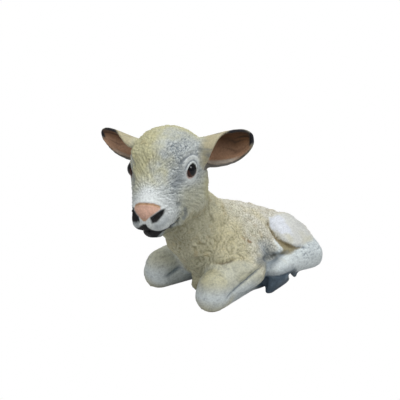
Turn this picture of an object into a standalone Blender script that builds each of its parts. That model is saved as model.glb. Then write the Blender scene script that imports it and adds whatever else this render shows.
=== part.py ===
"""Garden statue of a lying lamb, one moulded and hand-painted resin casting.

It is modelled as a sculptor works: lumps of clay are set where the bones and muscles lie, fused into one
skin, carved, given their wool, and cut flat where the statue stands.

Metres, +Z up. The lamb faces -Y and its left side is +X. The origin is on the ground below the middle.
"""

import math
from collections import namedtuple

import bmesh
import bpy
import numpy as np
from mathutils import Matrix, Vector, noise
from mathutils.bvhtree import BVHTree

# The whole statue, from the chest to the tail. The lumps below are laid out for this length.
STATUE_LENGTH = 0.3430

# One lump of clay: its centre, and its half width, half length and half height.
Lump = namedtuple("Lump", "x y z wide long tall")

# Trunk, from the chest back to the rump, and the tail.
KEEL = Lump(-0.005, 0.031, 0.009, 0.012, 0.014, 0.012)
BRISKET = Lump(0.002, 0.046, 0.044, 0.028, 0.026, 0.036)
BREAST = Lump(-0.007, 0.020, 0.091, 0.046, 0.038, 0.040)
CHEST = Lump(0.0, 0.062, 0.068, 0.050, 0.044, 0.064)
WITHERS = Lump(0.0, 0.044, 0.099, 0.038, 0.036, 0.046)
BACK = Lump(0.0, 0.092, 0.084, 0.040, 0.044, 0.046)
BARREL = Lump(0.0, 0.112, 0.058, 0.055, 0.060, 0.063)
RUMP = Lump(0.0, 0.170, 0.048, 0.046, 0.046, 0.048)
BELLY = Lump(0.038, 0.104, 0.028, 0.030, 0.046, 0.032)
TAIL_ROOT = Lump(0.0, 0.205, 0.072, 0.013, 0.013, 0.013)
TAIL_BEND = Lump(0.003, 0.221, 0.048, 0.013, 0.011, 0.014)
TAIL_TIP = Lump(0.005, 0.223, 0.018, 0.009, 0.009, 0.010)

# Forelegs, folded under: the knee points forward and the cannon bone lies back along the ground.
SHOULDER = Lump(0.028, 0.056, 0.084, 0.028, 0.038, 0.038)
UPPER_ARM = Lump(0.036, 0.040, 0.050, 0.030, 0.030, 0.036)
ELBOW = Lump(0.044, 0.075, 0.046, 0.032, 0.038, 0.040)
FOREARM_TOP = Lump(0.058, 0.073, 0.042, 0.026, 0.026, 0.026)
FOREARM_END = Lump(0.056, 0.006, 0.033, 0.024, 0.025, 0.025)
KNEE = Lump(0.056, 0.002, 0.022, 0.024, 0.025, 0.025)
FETLOCK = Lump(0.040, 0.100, 0.013, 0.014, 0.020, 0.016)
RIGHT_KNEE_FORWARD = 0.010

# Hind legs, folded beside the belly: hip, stifle and hock make the haunch, and the cannon comes forward.
HIP = Lump(0.028, 0.164, 0.062, 0.038, 0.042, 0.040)
BUTTOCK = Lump(0.032, 0.192, 0.058, 0.030, 0.026, 0.026)
STIFLE = Lump(0.062, 0.142, 0.050, 0.022, 0.024, 0.026)
HOCK = Lump(0.069, 0.196, 0.038, 0.020, 0.020, 0.021)
HEEL = Lump(0.070, 0.198, 0.032, 0.018, 0.018, 0.017)
HIND_FETLOCK = Lump(0.076, 0.138, 0.040, 0.015, 0.016, 0.016)
PASTERN = Lump(0.080, 0.110, 0.039, 0.014, 0.014, 0.015)
CORONET = Lump(0.080, 0.112, 0.027, 0.014, 0.017, 0.006)
HOOF_TOE = Lump(0.072, 0.100, 0.004, 0.006, 0.006, 0.006)
HOOF_HEEL = Lump(0.074, 0.134, 0.007, 0.008, 0.008, 0.008)
DEWCLAW = Lump(0.076, 0.154, 0.016, 0.005, 0.005, 0.006)
FLANK_FILL = Lump(0.038, 0.140, 0.026, 0.026, 0.046, 0.026)
RIGHT_HIND_IN = 0.006
RIGHT_HIND_DOWN = 0.005

# Head: everything below is placed in the head's own frame, with its origin in the middle of the skull.
HEAD_X = 0.0
HEAD_Y = -0.032
HEAD_Z = 0.208
HEAD_TURN = 30.0
HEAD_TILT = -4.0
NAPE = Lump(-0.012, 0.016, -0.048, 0.042, 0.038, 0.040)
POLL = Lump(0.0, 0.018, -0.004, 0.043, 0.038, 0.034)
SKULL = Lump(0.0, 0.008, 0.006, 0.0535, 0.050, 0.050)
CROWN = Lump(0.0, 0.004, 0.013, 0.052, 0.036, 0.043)
BROW = Lump(0.0, -0.014, 0.008, 0.0465, 0.034, 0.043)
FACE = Lump(0.0, -0.018, -0.006, 0.046, 0.034, 0.042)
BRIDGE = Lump(0.0, -0.056, -0.034, 0.028, 0.024, 0.022)
MUZZLE_BACK = Lump(0.0, -0.042, -0.040, 0.033, 0.028, 0.030)
MUZZLE = Lump(0.0, -0.068, -0.046, 0.026, 0.020, 0.024)
UPPER_LIP = Lump(0.012, -0.066, -0.055, 0.014, 0.018, 0.012)
CHIN = Lump(0.0, -0.058, -0.070, 0.015, 0.017, 0.010)
JAW = Lump(0.024, 0.008, -0.044, 0.028, 0.036, 0.030)
CHEEK = Lump(0.031, 0.008, -0.022, 0.021, 0.036, 0.038)
EYE = Lump(0.0374, -0.0192, 0.0025, 0.0118, 0.0118, 0.0118)

# Ears: each is a leaf of resin, rolled into a funnel at its root and opening towards its tip.
EAR_ROOT = Vector((0.036, 0.016, 0.019))
EAR_TIP = Vector((0.113, 0.030, 0.033))
EAR_SAG = 0.005
EAR_ROOT_WIDTH = 0.026
EAR_WIDTH = 0.040
EAR_WALL = 0.0048
EAR_WIDEST_AT = 0.6
EAR_TIP_SHARPNESS = 0.02
EAR_CLOSED_AT = 0.28
EAR_OPENS_AT = 0.66
EAR_CURL = 75.0
EAR_ROLL_ABOVE = 155.0
EAR_ROLL_BELOW = 60.0
RIGHT_EAR_ROLL_ABOVE = 85.0
RIGHT_EAR_OUT = 0.004
RIGHT_EAR_UP = 0.006

# Eyes: a ball under each lid, open to the front and side, with rings of lid and brow round it.
EYE_OUTWARD = 60.0
EYE_UPWARD = 4.0
EYE_SLANT = 22.0
EYE_LONG = 0.0092
EYE_TALL = 0.0084
LID_HEIGHT = 0.0016
LID_AT = 1.22
LID_SPREAD = 0.20
LID_FOLDS = ((1.60, 0.16, -0.0012), (2.05, 0.28, 0.0015), (2.60, 0.18, -0.0013), (3.05, 0.30, 0.0009))
SOCKET_REACH = 0.034
BALL_SHOWS_TO = 1.0
BALL_FADES_AT = 1.35

# A carved line: a run of places, how far from it the skin is pressed, how deep, and how much of each end
# fades out. A negative depth draws up a ridge. These are in the head's frame: x to its left, y back, z up.
Line = namedtuple("Line", "reach depth fade places")
NOSTRIL = Line(
    reach=0.0060,
    depth=0.0068,
    fade=0.25,
    places=(
        (0.0235, -0.0725, -0.0420),
        (0.0190, -0.0790, -0.0465),
        (0.0130, -0.0850, -0.0515),
    ),
)
NOSE_TOP = Line(
    reach=0.0045,
    depth=0.0014,
    fade=0.0,
    places=(
        (0.0, -0.0805, -0.0325),
        (0.0100, -0.0790, -0.0332),
        (0.0195, -0.0755, -0.0352),
    ),
)
NOSE_PAD = Line(
    reach=0.0120,
    depth=-0.0016,
    fade=0.25,
    places=(
        (0.0, -0.0840, -0.0380),
        (0.0, -0.0870, -0.0460),
    ),
)
PHILTRUM = Line(
    reach=0.0036,
    depth=0.0018,
    fade=0.25,
    places=(
        (0.0, -0.0875, -0.0530),
        (0.0, -0.0860, -0.0580),
        (0.0, -0.0820, -0.0630),
    ),
)
LIPS = Line(
    reach=0.0042,
    depth=0.0034,
    fade=0.0,
    places=(
        (0.0, -0.0800, -0.0650),
        (0.0113, -0.0740, -0.0675),
        (0.0183, -0.0570, -0.0690),
        (0.0273, -0.0424, -0.0642),
    ),
)
MOUTH_CORNER = Line(
    reach=0.0045,
    depth=0.0026,
    fade=0.25,
    places=(
        (0.0273, -0.0424, -0.0642),
        (0.0300, -0.0400, -0.0590),
    ),
)
TEAR_HOLLOW = Line(
    reach=0.0140,
    depth=0.0030,
    fade=0.25,
    places=(
        (0.0360, -0.0440, -0.0030),
        (0.0320, -0.0560, -0.0160),
    ),
)
BROW_RIDGE = Line(
    reach=0.0100,
    depth=-0.0022,
    fade=0.25,
    places=(
        (0.0240, -0.0400, 0.0210),
        (0.0360, -0.0300, 0.0290),
        (0.0440, -0.0150, 0.0280),
    ),
)
FOREHEAD = Line(
    reach=0.0200,
    depth=-0.0015,
    fade=0.25,
    places=(
        (0.0, -0.0420, 0.0250),
        (0.0, -0.0520, 0.0050),
    ),
)

# Carved lines in the body's frame, on the left side; the right side is their mirror.
FORELEG_GROOVE = Line(
    reach=0.0065,
    depth=0.0040,
    fade=0.25,
    places=(
        (0.0780, 0.0111, 0.0248),
        (0.0778, 0.0305, 0.0344),
        (0.0792, 0.0545, 0.0450),
        (0.0796, 0.0781, 0.0541),
    ),
)
ELBOW_CREASE = Line(
    reach=0.0070,
    depth=0.0036,
    fade=0.25,
    places=(
        (0.0422, 0.0137, 0.0661),
        (0.0537, 0.0209, 0.0648),
        (0.0588, 0.0336, 0.0661),
        (0.0634, 0.0449, 0.0707),
    ),
)
KNEE_CREASE = Line(
    reach=0.0060,
    depth=0.0026,
    fade=0.25,
    places=(
        (0.0321, -0.0078, 0.0300),
        (0.0318, 0.0093, 0.0322),
        (0.0315, 0.0250, 0.0360),
    ),
)
HAUNCH_CREVICE = Line(
    reach=0.0085,
    depth=0.0058,
    fade=0.25,
    places=(
        (0.0392, 0.1338, 0.0927),
        (0.0449, 0.1350, 0.0826),
        (0.0542, 0.1346, 0.0756),
        (0.0664, 0.1353, 0.0694),
        (0.0763, 0.1405, 0.0630),
        (0.0805, 0.1517, 0.0597),
        (0.0791, 0.1667, 0.0601),
    ),
)
SHANK_TOP = Line(
    reach=0.0075,
    depth=0.0040,
    fade=0.25,
    places=(
        (0.0700, 0.0900, 0.0570),
        (0.0663, 0.1189, 0.0535),
        (0.0720, 0.1290, 0.0560),
        (0.0770, 0.1380, 0.0600),
    ),
)
CORONET_LINE = Line(
    reach=0.0042,
    depth=0.0022,
    fade=0.25,
    places=(
        (0.0760, 0.0860, 0.0370),
        (0.0870, 0.0920, 0.0360),
        (0.0927, 0.0990, 0.0350),
        (0.0950, 0.1120, 0.0350),
        (0.0945, 0.1240, 0.0290),
    ),
)
HOOF_CLEFT = Line(
    reach=0.0050,
    depth=0.0036,
    fade=0.25,
    places=(
        (0.0720, 0.0930, 0.0260),
        (0.0700, 0.0930, 0.0160),
        (0.0690, 0.0950, 0.0060),
    ),
)

# Wool: locks on the neck and chest, a tight curly fleece on the trunk. It starts below and behind the head,
# ends above the ground, and leaves the legs bare.
LOCK_LENGTH = 0.026
LOCK_WIDTH = 0.011
LOCK_HEIGHT = 0.0048
LOCK_SWAY = 0.030
CURL_SIZE = 0.0075
CURL_HEIGHT = 0.0020
LOCKS_END = 0.075
LOCKS_BLEND = 0.05
WOOL_BELOW_HEAD = -0.045
WOOL_BEHIND_HEAD = 0.015
WOOL_BELOW_CROWN = 0.015
WOOL_HALF_WIDTH = 0.052
WOOL_ABOVE_GROUND = 0.012
WOOL_BLEND = 0.02
LEG_BARE_REACH = 1.9
LEG_BARE_EDGE = 3.5

# How the skin is made.
CLAY_GRAIN = 0.0022
SKIN_RELAX = 18
EAR_SOFTNESS = 0.3
EAR_BLEND = 0.012
BROAD_STROKE = 0.009
STROKE_STEP = 0.0015
END_DEPTH = 0.35
FACING_LEEWAY = 0.3
CAST_TRIANGLES = 11400
FACE_MIDDLE = (0.0, -0.045, -0.020)
FACE_REACH = 0.062
FACE_SHARE = 0.5
FACE_FAVOUR = 0.0016
BASE_FACES_DOWN = -0.999
CREAM = (0.62, 0.58, 0.44)
PAINT_ROUGHNESS = 0.6


def ball(lump):
    """A closed ball stretched to a lump's size and set in its place, as a bmesh."""
    clay = bmesh.new()
    bmesh.ops.create_icosphere(clay, subdivisions=4, radius=1.0)
    bmesh.ops.scale(clay, vec=(lump.wide, lump.long, lump.tall), verts=clay.verts)
    bmesh.ops.translate(clay, vec=(lump.x, lump.y, lump.z), verts=clay.verts)
    return clay


def pour(target, source):
    """Adds one bmesh to another and frees the first."""
    carrier = bpy.data.meshes.new("carrier")
    source.to_mesh(carrier)
    source.free()
    target.from_mesh(carrier)
    bpy.data.meshes.remove(carrier)


def mass(clay, *lumps, frame=None):
    """A muscle or bone: the tight skin round two or more lumps, or one lump alone."""
    piece = bmesh.new()
    for lump in lumps:
        pour(piece, ball(lump))
    skin = bmesh.ops.convex_hull(piece, input=piece.verts)
    buried = [e for e in skin["geom_interior"] if isinstance(e, bmesh.types.BMVert)]
    bmesh.ops.delete(piece, geom=buried, context="VERTS")
    if frame is not None:
        bmesh.ops.transform(piece, matrix=frame, verts=piece.verts)
    bmesh.ops.recalc_face_normals(piece, faces=piece.faces)
    pour(clay, piece)


def on_side(lump, side, inward=0.0, forward=0.0, down=0.0):
    """The lump on the left (side 1) or mirrored to the right (side -1), and shifted there."""
    if side > 0:
        return lump
    return lump._replace(x=inward - lump.x, y=lump.y - forward, z=lump.z - down)


def head_frame():
    """Where the head sits on the neck: turned to its left and tilted a little."""
    turn = Matrix.Rotation(math.radians(HEAD_TURN), 4, "Z")
    tilt = Matrix.Rotation(math.radians(HEAD_TILT), 4, "Y")
    return Matrix.Translation((HEAD_X, HEAD_Y, HEAD_Z)) @ turn @ tilt


def lay_trunk(clay):
    """Chest, withers, back, barrel, rump, belly, the neck up to the head, and the tail."""
    mass(clay, CHEST, BARREL)
    mass(clay, BARREL, RUMP)
    mass(clay, WITHERS, BACK)
    mass(clay, BRISKET, BREAST)
    mass(clay, BRISKET, KEEL)
    mass(clay, BELLY, on_side(BELLY, -1))
    nape = head_frame() @ Vector((NAPE.x, NAPE.y, NAPE.z))
    mass(clay, CHEST, WITHERS, NAPE._replace(x=nape.x, y=nape.y, z=nape.z))
    mass(clay, RUMP._replace(wide=TAIL_ROOT.wide, tall=TAIL_ROOT.tall), TAIL_ROOT)
    mass(clay, TAIL_ROOT, TAIL_BEND, TAIL_TIP)


def lay_forelegs(clay):
    """Shoulders, arms and forearms, and the cannon bones folded back under them."""
    for side in (1, -1):
        knee_forward = RIGHT_KNEE_FORWARD if side < 0 else 0.0
        knee, end = (on_side(lump, side, forward=knee_forward) for lump in (KNEE, FOREARM_END))
        shoulder, arm, elbow, top, fetlock = (
            on_side(lump, side) for lump in (SHOULDER, UPPER_ARM, ELBOW, FOREARM_TOP, FETLOCK)
        )
        mass(clay, shoulder, arm, elbow)
        mass(clay, elbow, top)
        mass(clay, top, end)
        mass(clay, end, knee)
        mass(clay, knee, fetlock)


def lay_hind_legs(clay):
    """Haunches and hocks, and the cannon bones brought forward to the hooves beside the belly."""
    for side in (1, -1):
        lower = RIGHT_HIND_DOWN if side < 0 else 0.0
        hip, buttock, stifle, hock = (
            on_side(lump, side, inward=RIGHT_HIND_IN, down=lower) for lump in (HIP, BUTTOCK, STIFLE, HOCK)
        )
        heel, fetlock, pastern, coronet, toe, hoof_heel, dewclaw, fill = (
            on_side(lump, side, inward=RIGHT_HIND_IN)
            for lump in (HEEL, HIND_FETLOCK, PASTERN, CORONET, HOOF_TOE, HOOF_HEEL, DEWCLAW, FLANK_FILL)
        )
        mass(clay, hip, stifle, hock)
        mass(clay, hip, buttock, hock)
        mass(clay, hock, heel)
        mass(clay, heel, fetlock)
        mass(clay, fetlock, pastern)
        mass(clay, pastern, coronet)
        mass(clay, coronet, toe, hoof_heel)
        mass(clay, fetlock._replace(wide=DEWCLAW.wide, long=DEWCLAW.long, tall=DEWCLAW.tall), dewclaw)
        mass(clay, fill)


def lay_head(clay):
    """Skull, poll and nape, brow, face, muzzle, chin, jaws, cheeks and the balls of the eyes."""
    frame = head_frame()
    mass(clay, SKULL, frame=frame)
    mass(clay, POLL, NAPE, frame=frame)
    mass(clay, BROW, CROWN, frame=frame)
    mass(clay, FACE, BRIDGE, frame=frame)
    mass(clay, MUZZLE_BACK, MUZZLE, frame=frame)
    mass(clay, CHIN, JAW, on_side(JAW, -1), frame=frame)
    for side in (1, -1):
        mass(clay, on_side(CHEEK, side), MUZZLE_BACK, FACE, frame=frame)
        mass(clay, on_side(UPPER_LIP, side), frame=frame)
        mass(clay, on_side(EYE, side), frame=frame)


def ear_width(u):
    """The ear's width from its root (u = 0) to its tip (u = 1): a leaf, widest past its middle."""
    grown = math.sin(min(u / EAR_WIDEST_AT, 1.0) * math.pi / 2)
    past = max(0.0, (u - EAR_WIDEST_AT) / (1 - EAR_WIDEST_AT))
    rounding = math.sqrt(max(EAR_TIP_SHARPNESS, 1 - past**2))
    return (EAR_ROOT_WIDTH + (EAR_WIDTH - EAR_ROOT_WIDTH) * grown) * rounding


def lay_ears(clay):
    """Both ears, each a sheet rolled from above and below and given its wall."""
    for side in (1, -1):
        leaf = bmesh.new()
        bmesh.ops.create_grid(leaf, x_segments=36, y_segments=28, size=1.0)
        for vert in leaf.verts:
            u, across = (vert.co.x + 1) / 2, vert.co.y
            rolled = min(1.0, max(0.0, (EAR_OPENS_AT - u) / (EAR_OPENS_AT - EAR_CLOSED_AT)))
            above = math.radians(EAR_CURL + (EAR_ROLL_ABOVE if side > 0 else RIGHT_EAR_ROLL_ABOVE) * rolled)
            below = math.radians(EAR_CURL + EAR_ROLL_BELOW * (1 - u) ** 2)
            angle = above * (1 + across) / 2 - below * (1 - across) / 2
            radius = ear_width(u) / (math.sin(min(above, math.pi / 2)) + math.sin(min(below, math.pi / 2)))
            vert.co = EAR_ROOT.lerp(EAR_TIP, u)
            vert.co.y += radius * (math.cos(angle) - math.cos(math.radians(EAR_CURL)))
            vert.co.z += radius * math.sin(angle) - EAR_SAG * math.sin(math.pi * u)
            if side < 0:
                vert.co.x += RIGHT_EAR_OUT * u
                vert.co.z += RIGHT_EAR_UP * u
            vert.co.x *= side
        bmesh.ops.recalc_face_normals(leaf, faces=leaf.faces)
        bmesh.ops.solidify(leaf, geom=leaf.faces[:], thickness=EAR_WALL)
        bmesh.ops.recalc_face_normals(leaf, faces=leaf.faces)
        bmesh.ops.transform(leaf, matrix=head_frame(), verts=leaf.verts)
        pour(clay, leaf)


def apply_modifiers(statue):
    """Makes what the modifiers show the statue's own mesh."""
    bpy.context.view_layer.update()
    graph = bpy.context.evaluated_depsgraph_get()
    made = bpy.data.meshes.new_from_object(statue.evaluated_get(graph))
    statue.modifiers.clear()
    old, statue.data = statue.data, made
    bpy.data.meshes.remove(old)


def ear_share(point, to_head):
    """1 well out on an ear, 0 on the head, so that the thin ears keep their edges."""
    local = to_head @ point
    out = (abs(local.x) - EAR_ROOT.x - EAR_BLEND) / EAR_BLEND
    return max(0.0, min(1.0, out)) if local.z > EAR_ROOT.z - EAR_WIDTH else 0.0


def fuse(statue):
    """Joins all the clay into one skin and rubs its seams smooth."""
    remesh = statue.modifiers.new("fuse", "REMESH")
    remesh.mode = "VOXEL"
    remesh.voxel_size = CLAY_GRAIN
    apply_modifiers(statue)
    to_head = head_frame().inverted()
    group = statue.vertex_groups.new(name="rub")
    for vert in statue.data.vertices:
        share = ear_share(vert.co, to_head)
        group.add([vert.index], 1 + (EAR_SOFTNESS - 1) * share, "REPLACE")
    relax = statue.modifiers.new("rub", "SMOOTH")
    relax.factor = 0.5
    relax.iterations = SKIN_RELAX
    relax.vertex_group = "rub"
    apply_modifiers(statue)


class Skin:
    """The statue's surface while it is carved: where its points are and which way they face."""

    def __init__(self, statue):
        self.mesh = statue.data
        count = len(self.mesh.vertices)
        self.points = np.empty(count * 3)
        self.mesh.vertices.foreach_get("co", self.points)
        self.points = self.points.reshape(-1, 3)
        self.measure()

    def measure(self):
        """Reads which way the points face, and sets up the search for the nearest place on the surface."""
        self.mesh.vertices.foreach_set("co", self.points.ravel())
        self.mesh.update()
        normals = np.empty(self.points.size)
        self.mesh.vertices.foreach_get("normal", normals)
        self.normals = normals.reshape(-1, 3)
        corners = [polygon.vertices[:] for polygon in self.mesh.polygons]
        self.surface = BVHTree.FromPolygons(self.points.tolist(), corners)

    def path(self, places, frame, side):
        """Points a small step apart on the surface along a run of places, and the way it faces at each."""
        laid = []
        places = [self.surface.find_nearest(frame @ Vector((side * p[0], p[1], p[2])))[0] for p in places]
        for start, end in zip(places, places[1:]):
            steps = max(2, round((end - start).length / STROKE_STEP))
            laid += [start.lerp(end, i / steps) for i in range(steps + 1)]
        found = [self.surface.find_nearest(place)[:2] for place in laid]
        return np.array([f[0] for f in found]), np.array([f[1] for f in found])

    def stroke(self, line, frame=Matrix(), sides=(1, -1)):
        """Presses a rounded groove along a carved line, or draws up a ridge, on one or both sides."""
        moved = np.zeros_like(self.points)
        for side in sides:
            run, facing = self.path(line.places, frame, side)
            low, high = run.min(0) - line.reach, run.max(0) + line.reach
            near = np.flatnonzero(((self.points > low) & (self.points < high)).all(1))
            gap = np.linalg.norm(self.points[near, None] - run[None], axis=2)
            nearest = gap.argmin(1)
            share = np.clip(1 - (gap.min(1) / line.reach) ** 2, 0, 1) ** 1.5
            along = nearest / (len(run) - 1)
            ends = np.clip(np.minimum(along, 1 - along) / line.fade, 0, 1) if line.fade else 1.0
            push = facing.mean(0) / np.linalg.norm(facing.mean(0))
            same_way = np.clip((self.normals[near] @ push + FACING_LEEWAY) / (2 * FACING_LEEWAY), 0, 1)
            amount = line.depth * share * (END_DEPTH + (1 - END_DEPTH) * ends) * same_way
            lean = 0.5 if line.reach < BROAD_STROKE else 0.0
            moved[near] -= (lean * facing[nearest] + (1 - lean) * push) * amount[:, None]
        self.points += moved


def carve_eye(skin, side):
    """Opens one eye: the ball, a rounded lid all round it, and two folds of skin above."""
    frame = head_frame()
    centre = np.array(frame @ Vector((side * EYE.x, EYE.y, EYE.z)))
    out, up = math.radians(EYE_OUTWARD), math.radians(EYE_UPWARD)
    axis = Vector((side * math.sin(out) * math.cos(up), -math.cos(out) * math.cos(up), math.sin(up)))
    level = Vector((-side * math.cos(out), -math.sin(out), 0)).normalized()
    rise = level.cross(axis) if side > 0 else axis.cross(level)
    slant = math.radians(EYE_SLANT)
    along = level * math.cos(slant) - rise * math.sin(slant)
    up_lid = rise * math.cos(slant) + level * math.sin(slant)
    turn = frame.to_3x3()
    axis, along, up_lid = (np.array(turn @ v) for v in (axis, along, up_lid))
    offset = skin.points - centre
    distance = np.linalg.norm(offset, axis=1)
    ahead, across, above = offset @ axis, offset @ along, offset @ up_lid
    ring = np.hypot(across / EYE_LONG, above / EYE_TALL)
    near = np.flatnonzero((distance < SOCKET_REACH) & (ahead > 0))
    ring, distance, offset = ring[near], distance[near], offset[near]
    height = np.clip(above[near] / EYE_TALL / np.maximum(ring, 1e-6), 0, 1)
    lid = np.exp(-(((ring - LID_AT) / LID_SPREAD) ** 2)) * LID_HEIGHT
    folds = np.zeros(len(near))
    for place, spread, rises in LID_FOLDS:
        folds += rises * np.exp(-(((ring - place) / spread) ** 2)) * height
    hold = np.clip((BALL_FADES_AT - ring) / (BALL_FADES_AT - BALL_SHOWS_TO), 0, 1)
    radius = distance * (1 - hold) + EYE.wide * hold + lid + folds
    skin.points[near] = centre + offset / distance[:, None] * radius[:, None]


def carve_face(skin):
    """Shapes the brow, opens the eyes, and cuts the nose, nostrils and lips."""
    frame = head_frame()
    skin.stroke(TEAR_HOLLOW, frame)
    skin.stroke(BROW_RIDGE, frame)
    skin.stroke(FOREHEAD, frame, sides=(1,))
    skin.measure()
    for side in (1, -1):
        carve_eye(skin, side)
    skin.measure()
    for line in (NOSE_TOP, NOSTRIL, LIPS, MOUTH_CORNER):
        skin.stroke(line, frame)
    for line in (NOSE_PAD, PHILTRUM):
        skin.stroke(line, frame, sides=(1,))
    skin.measure()


def carve_legs(skin):
    """Cuts the folds of the legs, the crevice in front of the haunch, and the hooves' edges."""
    for line in (FORELEG_GROOVE, ELBOW_CREASE, KNEE_CREASE):
        skin.stroke(line)
    for line in (HAUNCH_CREVICE, SHANK_TOP, CORONET_LINE, HOOF_CLEFT):
        skin.stroke(line)
    skin.measure()


def in_lump(points, lump, grown=1.0):
    """How far inside a lump each point is: 1 at its centre, 0 at its skin and beyond."""
    offset = (points - (lump.x, lump.y, lump.z)) / (lump.wide * grown, lump.long * grown, lump.tall * grown)
    return np.clip(1 - np.linalg.norm(offset, axis=1), 0, 1)


def wool_cover(skin):
    """How woolly each point is: 1 on the neck, chest and trunk, 0 on the face, ears and legs."""
    points = skin.points
    to_head = np.array(head_frame().inverted())
    local = points @ to_head[:3, :3].T + to_head[:3, 3]
    below = np.clip((WOOL_BELOW_HEAD - local[:, 2]) / WOOL_BLEND, 0, 1)
    behind = np.clip((local[:, 1] - WOOL_BEHIND_HEAD) / WOOL_BLEND, 0, 1)
    behind = behind * np.clip((WOOL_HALF_WIDTH - abs(local[:, 0])) / WOOL_BLEND, 0, 1)
    behind = behind * np.clip((WOOL_BELOW_CROWN - local[:, 2]) / WOOL_BLEND, 0, 1)
    cover = np.maximum(below, behind)
    cover = cover * np.clip((points[:, 2] - WOOL_ABOVE_GROUND) / WOOL_BLEND, 0, 1)
    for side in (1, -1):
        legs = (FOREARM_END, KNEE, FETLOCK, STIFLE, HOCK, HEEL, HIND_FETLOCK, PASTERN, CORONET)
        for lump in legs:
            bare = in_lump(points, on_side(lump, side, inward=RIGHT_HIND_IN), LEG_BARE_REACH)
            cover = cover * (1 - np.clip(bare * LEG_BARE_EDGE, 0, 1))
    return cover


def grow_wool(skin):
    """Draws up the locks on the neck and chest, and the curls on the trunk and between the locks."""
    cover = wool_cover(skin)
    neck = np.clip((LOCKS_END - skin.points[:, 1]) / LOCKS_BLEND, 0, 1)
    height = np.zeros(len(cover))
    for index in np.flatnonzero(cover > 0.01):
        x, y, z = skin.points[index]
        sway = noise.noise(Vector((x, y, z)) / LOCK_SWAY)
        lock = Vector((x / LOCK_WIDTH + sway, y / LOCK_WIDTH + sway, z / LOCK_LENGTH))
        locks = (0.5 - abs(noise.noise(lock))) * LOCK_HEIGHT
        curls = noise.noise(Vector((x, y, z)) / CURL_SIZE) * CURL_HEIGHT
        height[index] = neck[index] * (locks + curls / 2) + (1 - neck[index]) * curls
    skin.points += skin.normals * (height * cover)[:, None]


def carve(statue):
    """Cuts the fused clay: legs first, then the face, then the wool."""
    skin = Skin(statue)
    carve_legs(skin)
    carve_face(skin)
    grow_wool(skin)
    skin.measure()


def cut_base(statue):
    """Cuts the casting flat on the ground, where it stands."""
    cast = bmesh.new()
    cast.from_mesh(statue.data)
    everything = cast.verts[:] + cast.edges[:] + cast.faces[:]
    cut = bmesh.ops.bisect_plane(
        cast, geom=everything, dist=1e-5, plane_co=(0, 0, 0), plane_no=(0, 0, -1), clear_outer=True
    )
    rim = [e for e in cut["geom_cut"] if isinstance(e, bmesh.types.BMEdge)]
    bmesh.ops.holes_fill(cast, edges=rim, sides=0)
    bmesh.ops.triangulate(cast, faces=cast.faces[:])
    cast.to_mesh(statue.data)
    cast.free()


def thin(statue):
    """Spends the triangles where the surface bends most, and most of all on the head."""
    to_head = np.array(head_frame().inverted())
    group = statue.vertex_groups.new(name="fine")
    for vert in statue.data.vertices:
        local = to_head[:3, :3] @ np.array(vert.co) + to_head[:3, 3]
        face = np.linalg.norm(local - np.array(FACE_MIDDLE)) < FACE_REACH
        group.add([vert.index], FACE_SHARE if face else 1.0, "REPLACE")
    count = sum(len(polygon.vertices) - 2 for polygon in statue.data.polygons)
    decimate = statue.modifiers.new("thin", "DECIMATE")
    decimate.vertex_group = "fine"
    decimate.vertex_group_factor = FACE_FAVOUR
    decimate.ratio = CAST_TRIANGLES / count
    apply_modifiers(statue)


def settle(statue):
    """Gives the statue its length, and sets the origin on the ground below the middle of its bounding box."""
    points = np.array([vert.co for vert in statue.data.vertices])
    low, high = points.min(0), points.max(0)
    middle = Vector((-(low[0] + high[0]) / 2, -(low[1] + high[1]) / 2, -low[2]))
    scale = STATUE_LENGTH / (high[1] - low[1])
    statue.data.transform(Matrix.Scale(scale, 4) @ Matrix.Translation(middle))


def painted_resin():
    """The statue's matte paint in its mean colour."""
    paint = bpy.data.materials.new("painted_resin")
    paint.use_nodes = True
    surface = paint.node_tree.nodes["Principled BSDF"]
    surface.inputs["Base Color"].default_value = (*CREAM, 1)
    surface.inputs["Roughness"].default_value = PAINT_ROUGHNESS
    surface.inputs["Metallic"].default_value = 0.0
    return paint


def main():
    for old in list(bpy.data.objects):
        bpy.data.objects.remove(old)
    clay = bmesh.new()
    lay_trunk(clay)
    lay_forelegs(clay)
    lay_hind_legs(clay)
    lay_head(clay)
    lay_ears(clay)
    mesh = bpy.data.meshes.new("lamb_statue")
    clay.to_mesh(mesh)
    clay.free()
    statue = bpy.data.objects.new("lamb_statue", mesh)
    ornament = bpy.data.collections.new("sheep_garden_statue")
    bpy.context.scene.collection.children.link(ornament)
    ornament.objects.link(statue)
    fuse(statue)
    carve(statue)
    thin(statue)
    cut_base(statue)
    settle(statue)
    statue.data.materials.append(painted_resin())
    for polygon in statue.data.polygons:
        polygon.use_smooth = polygon.normal.z > BASE_FACES_DOWN


main()
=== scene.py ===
"""The looks of the lying lamb statue: carved wool and hair, hand-laid paint, and varnished eyes."""

import itertools
import math

import bmesh
import bpy
import numpy as np
from mathutils import Matrix, Vector
from mathutils.bvhtree import BVHTree
from mathutils.kdtree import KDTree


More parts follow.
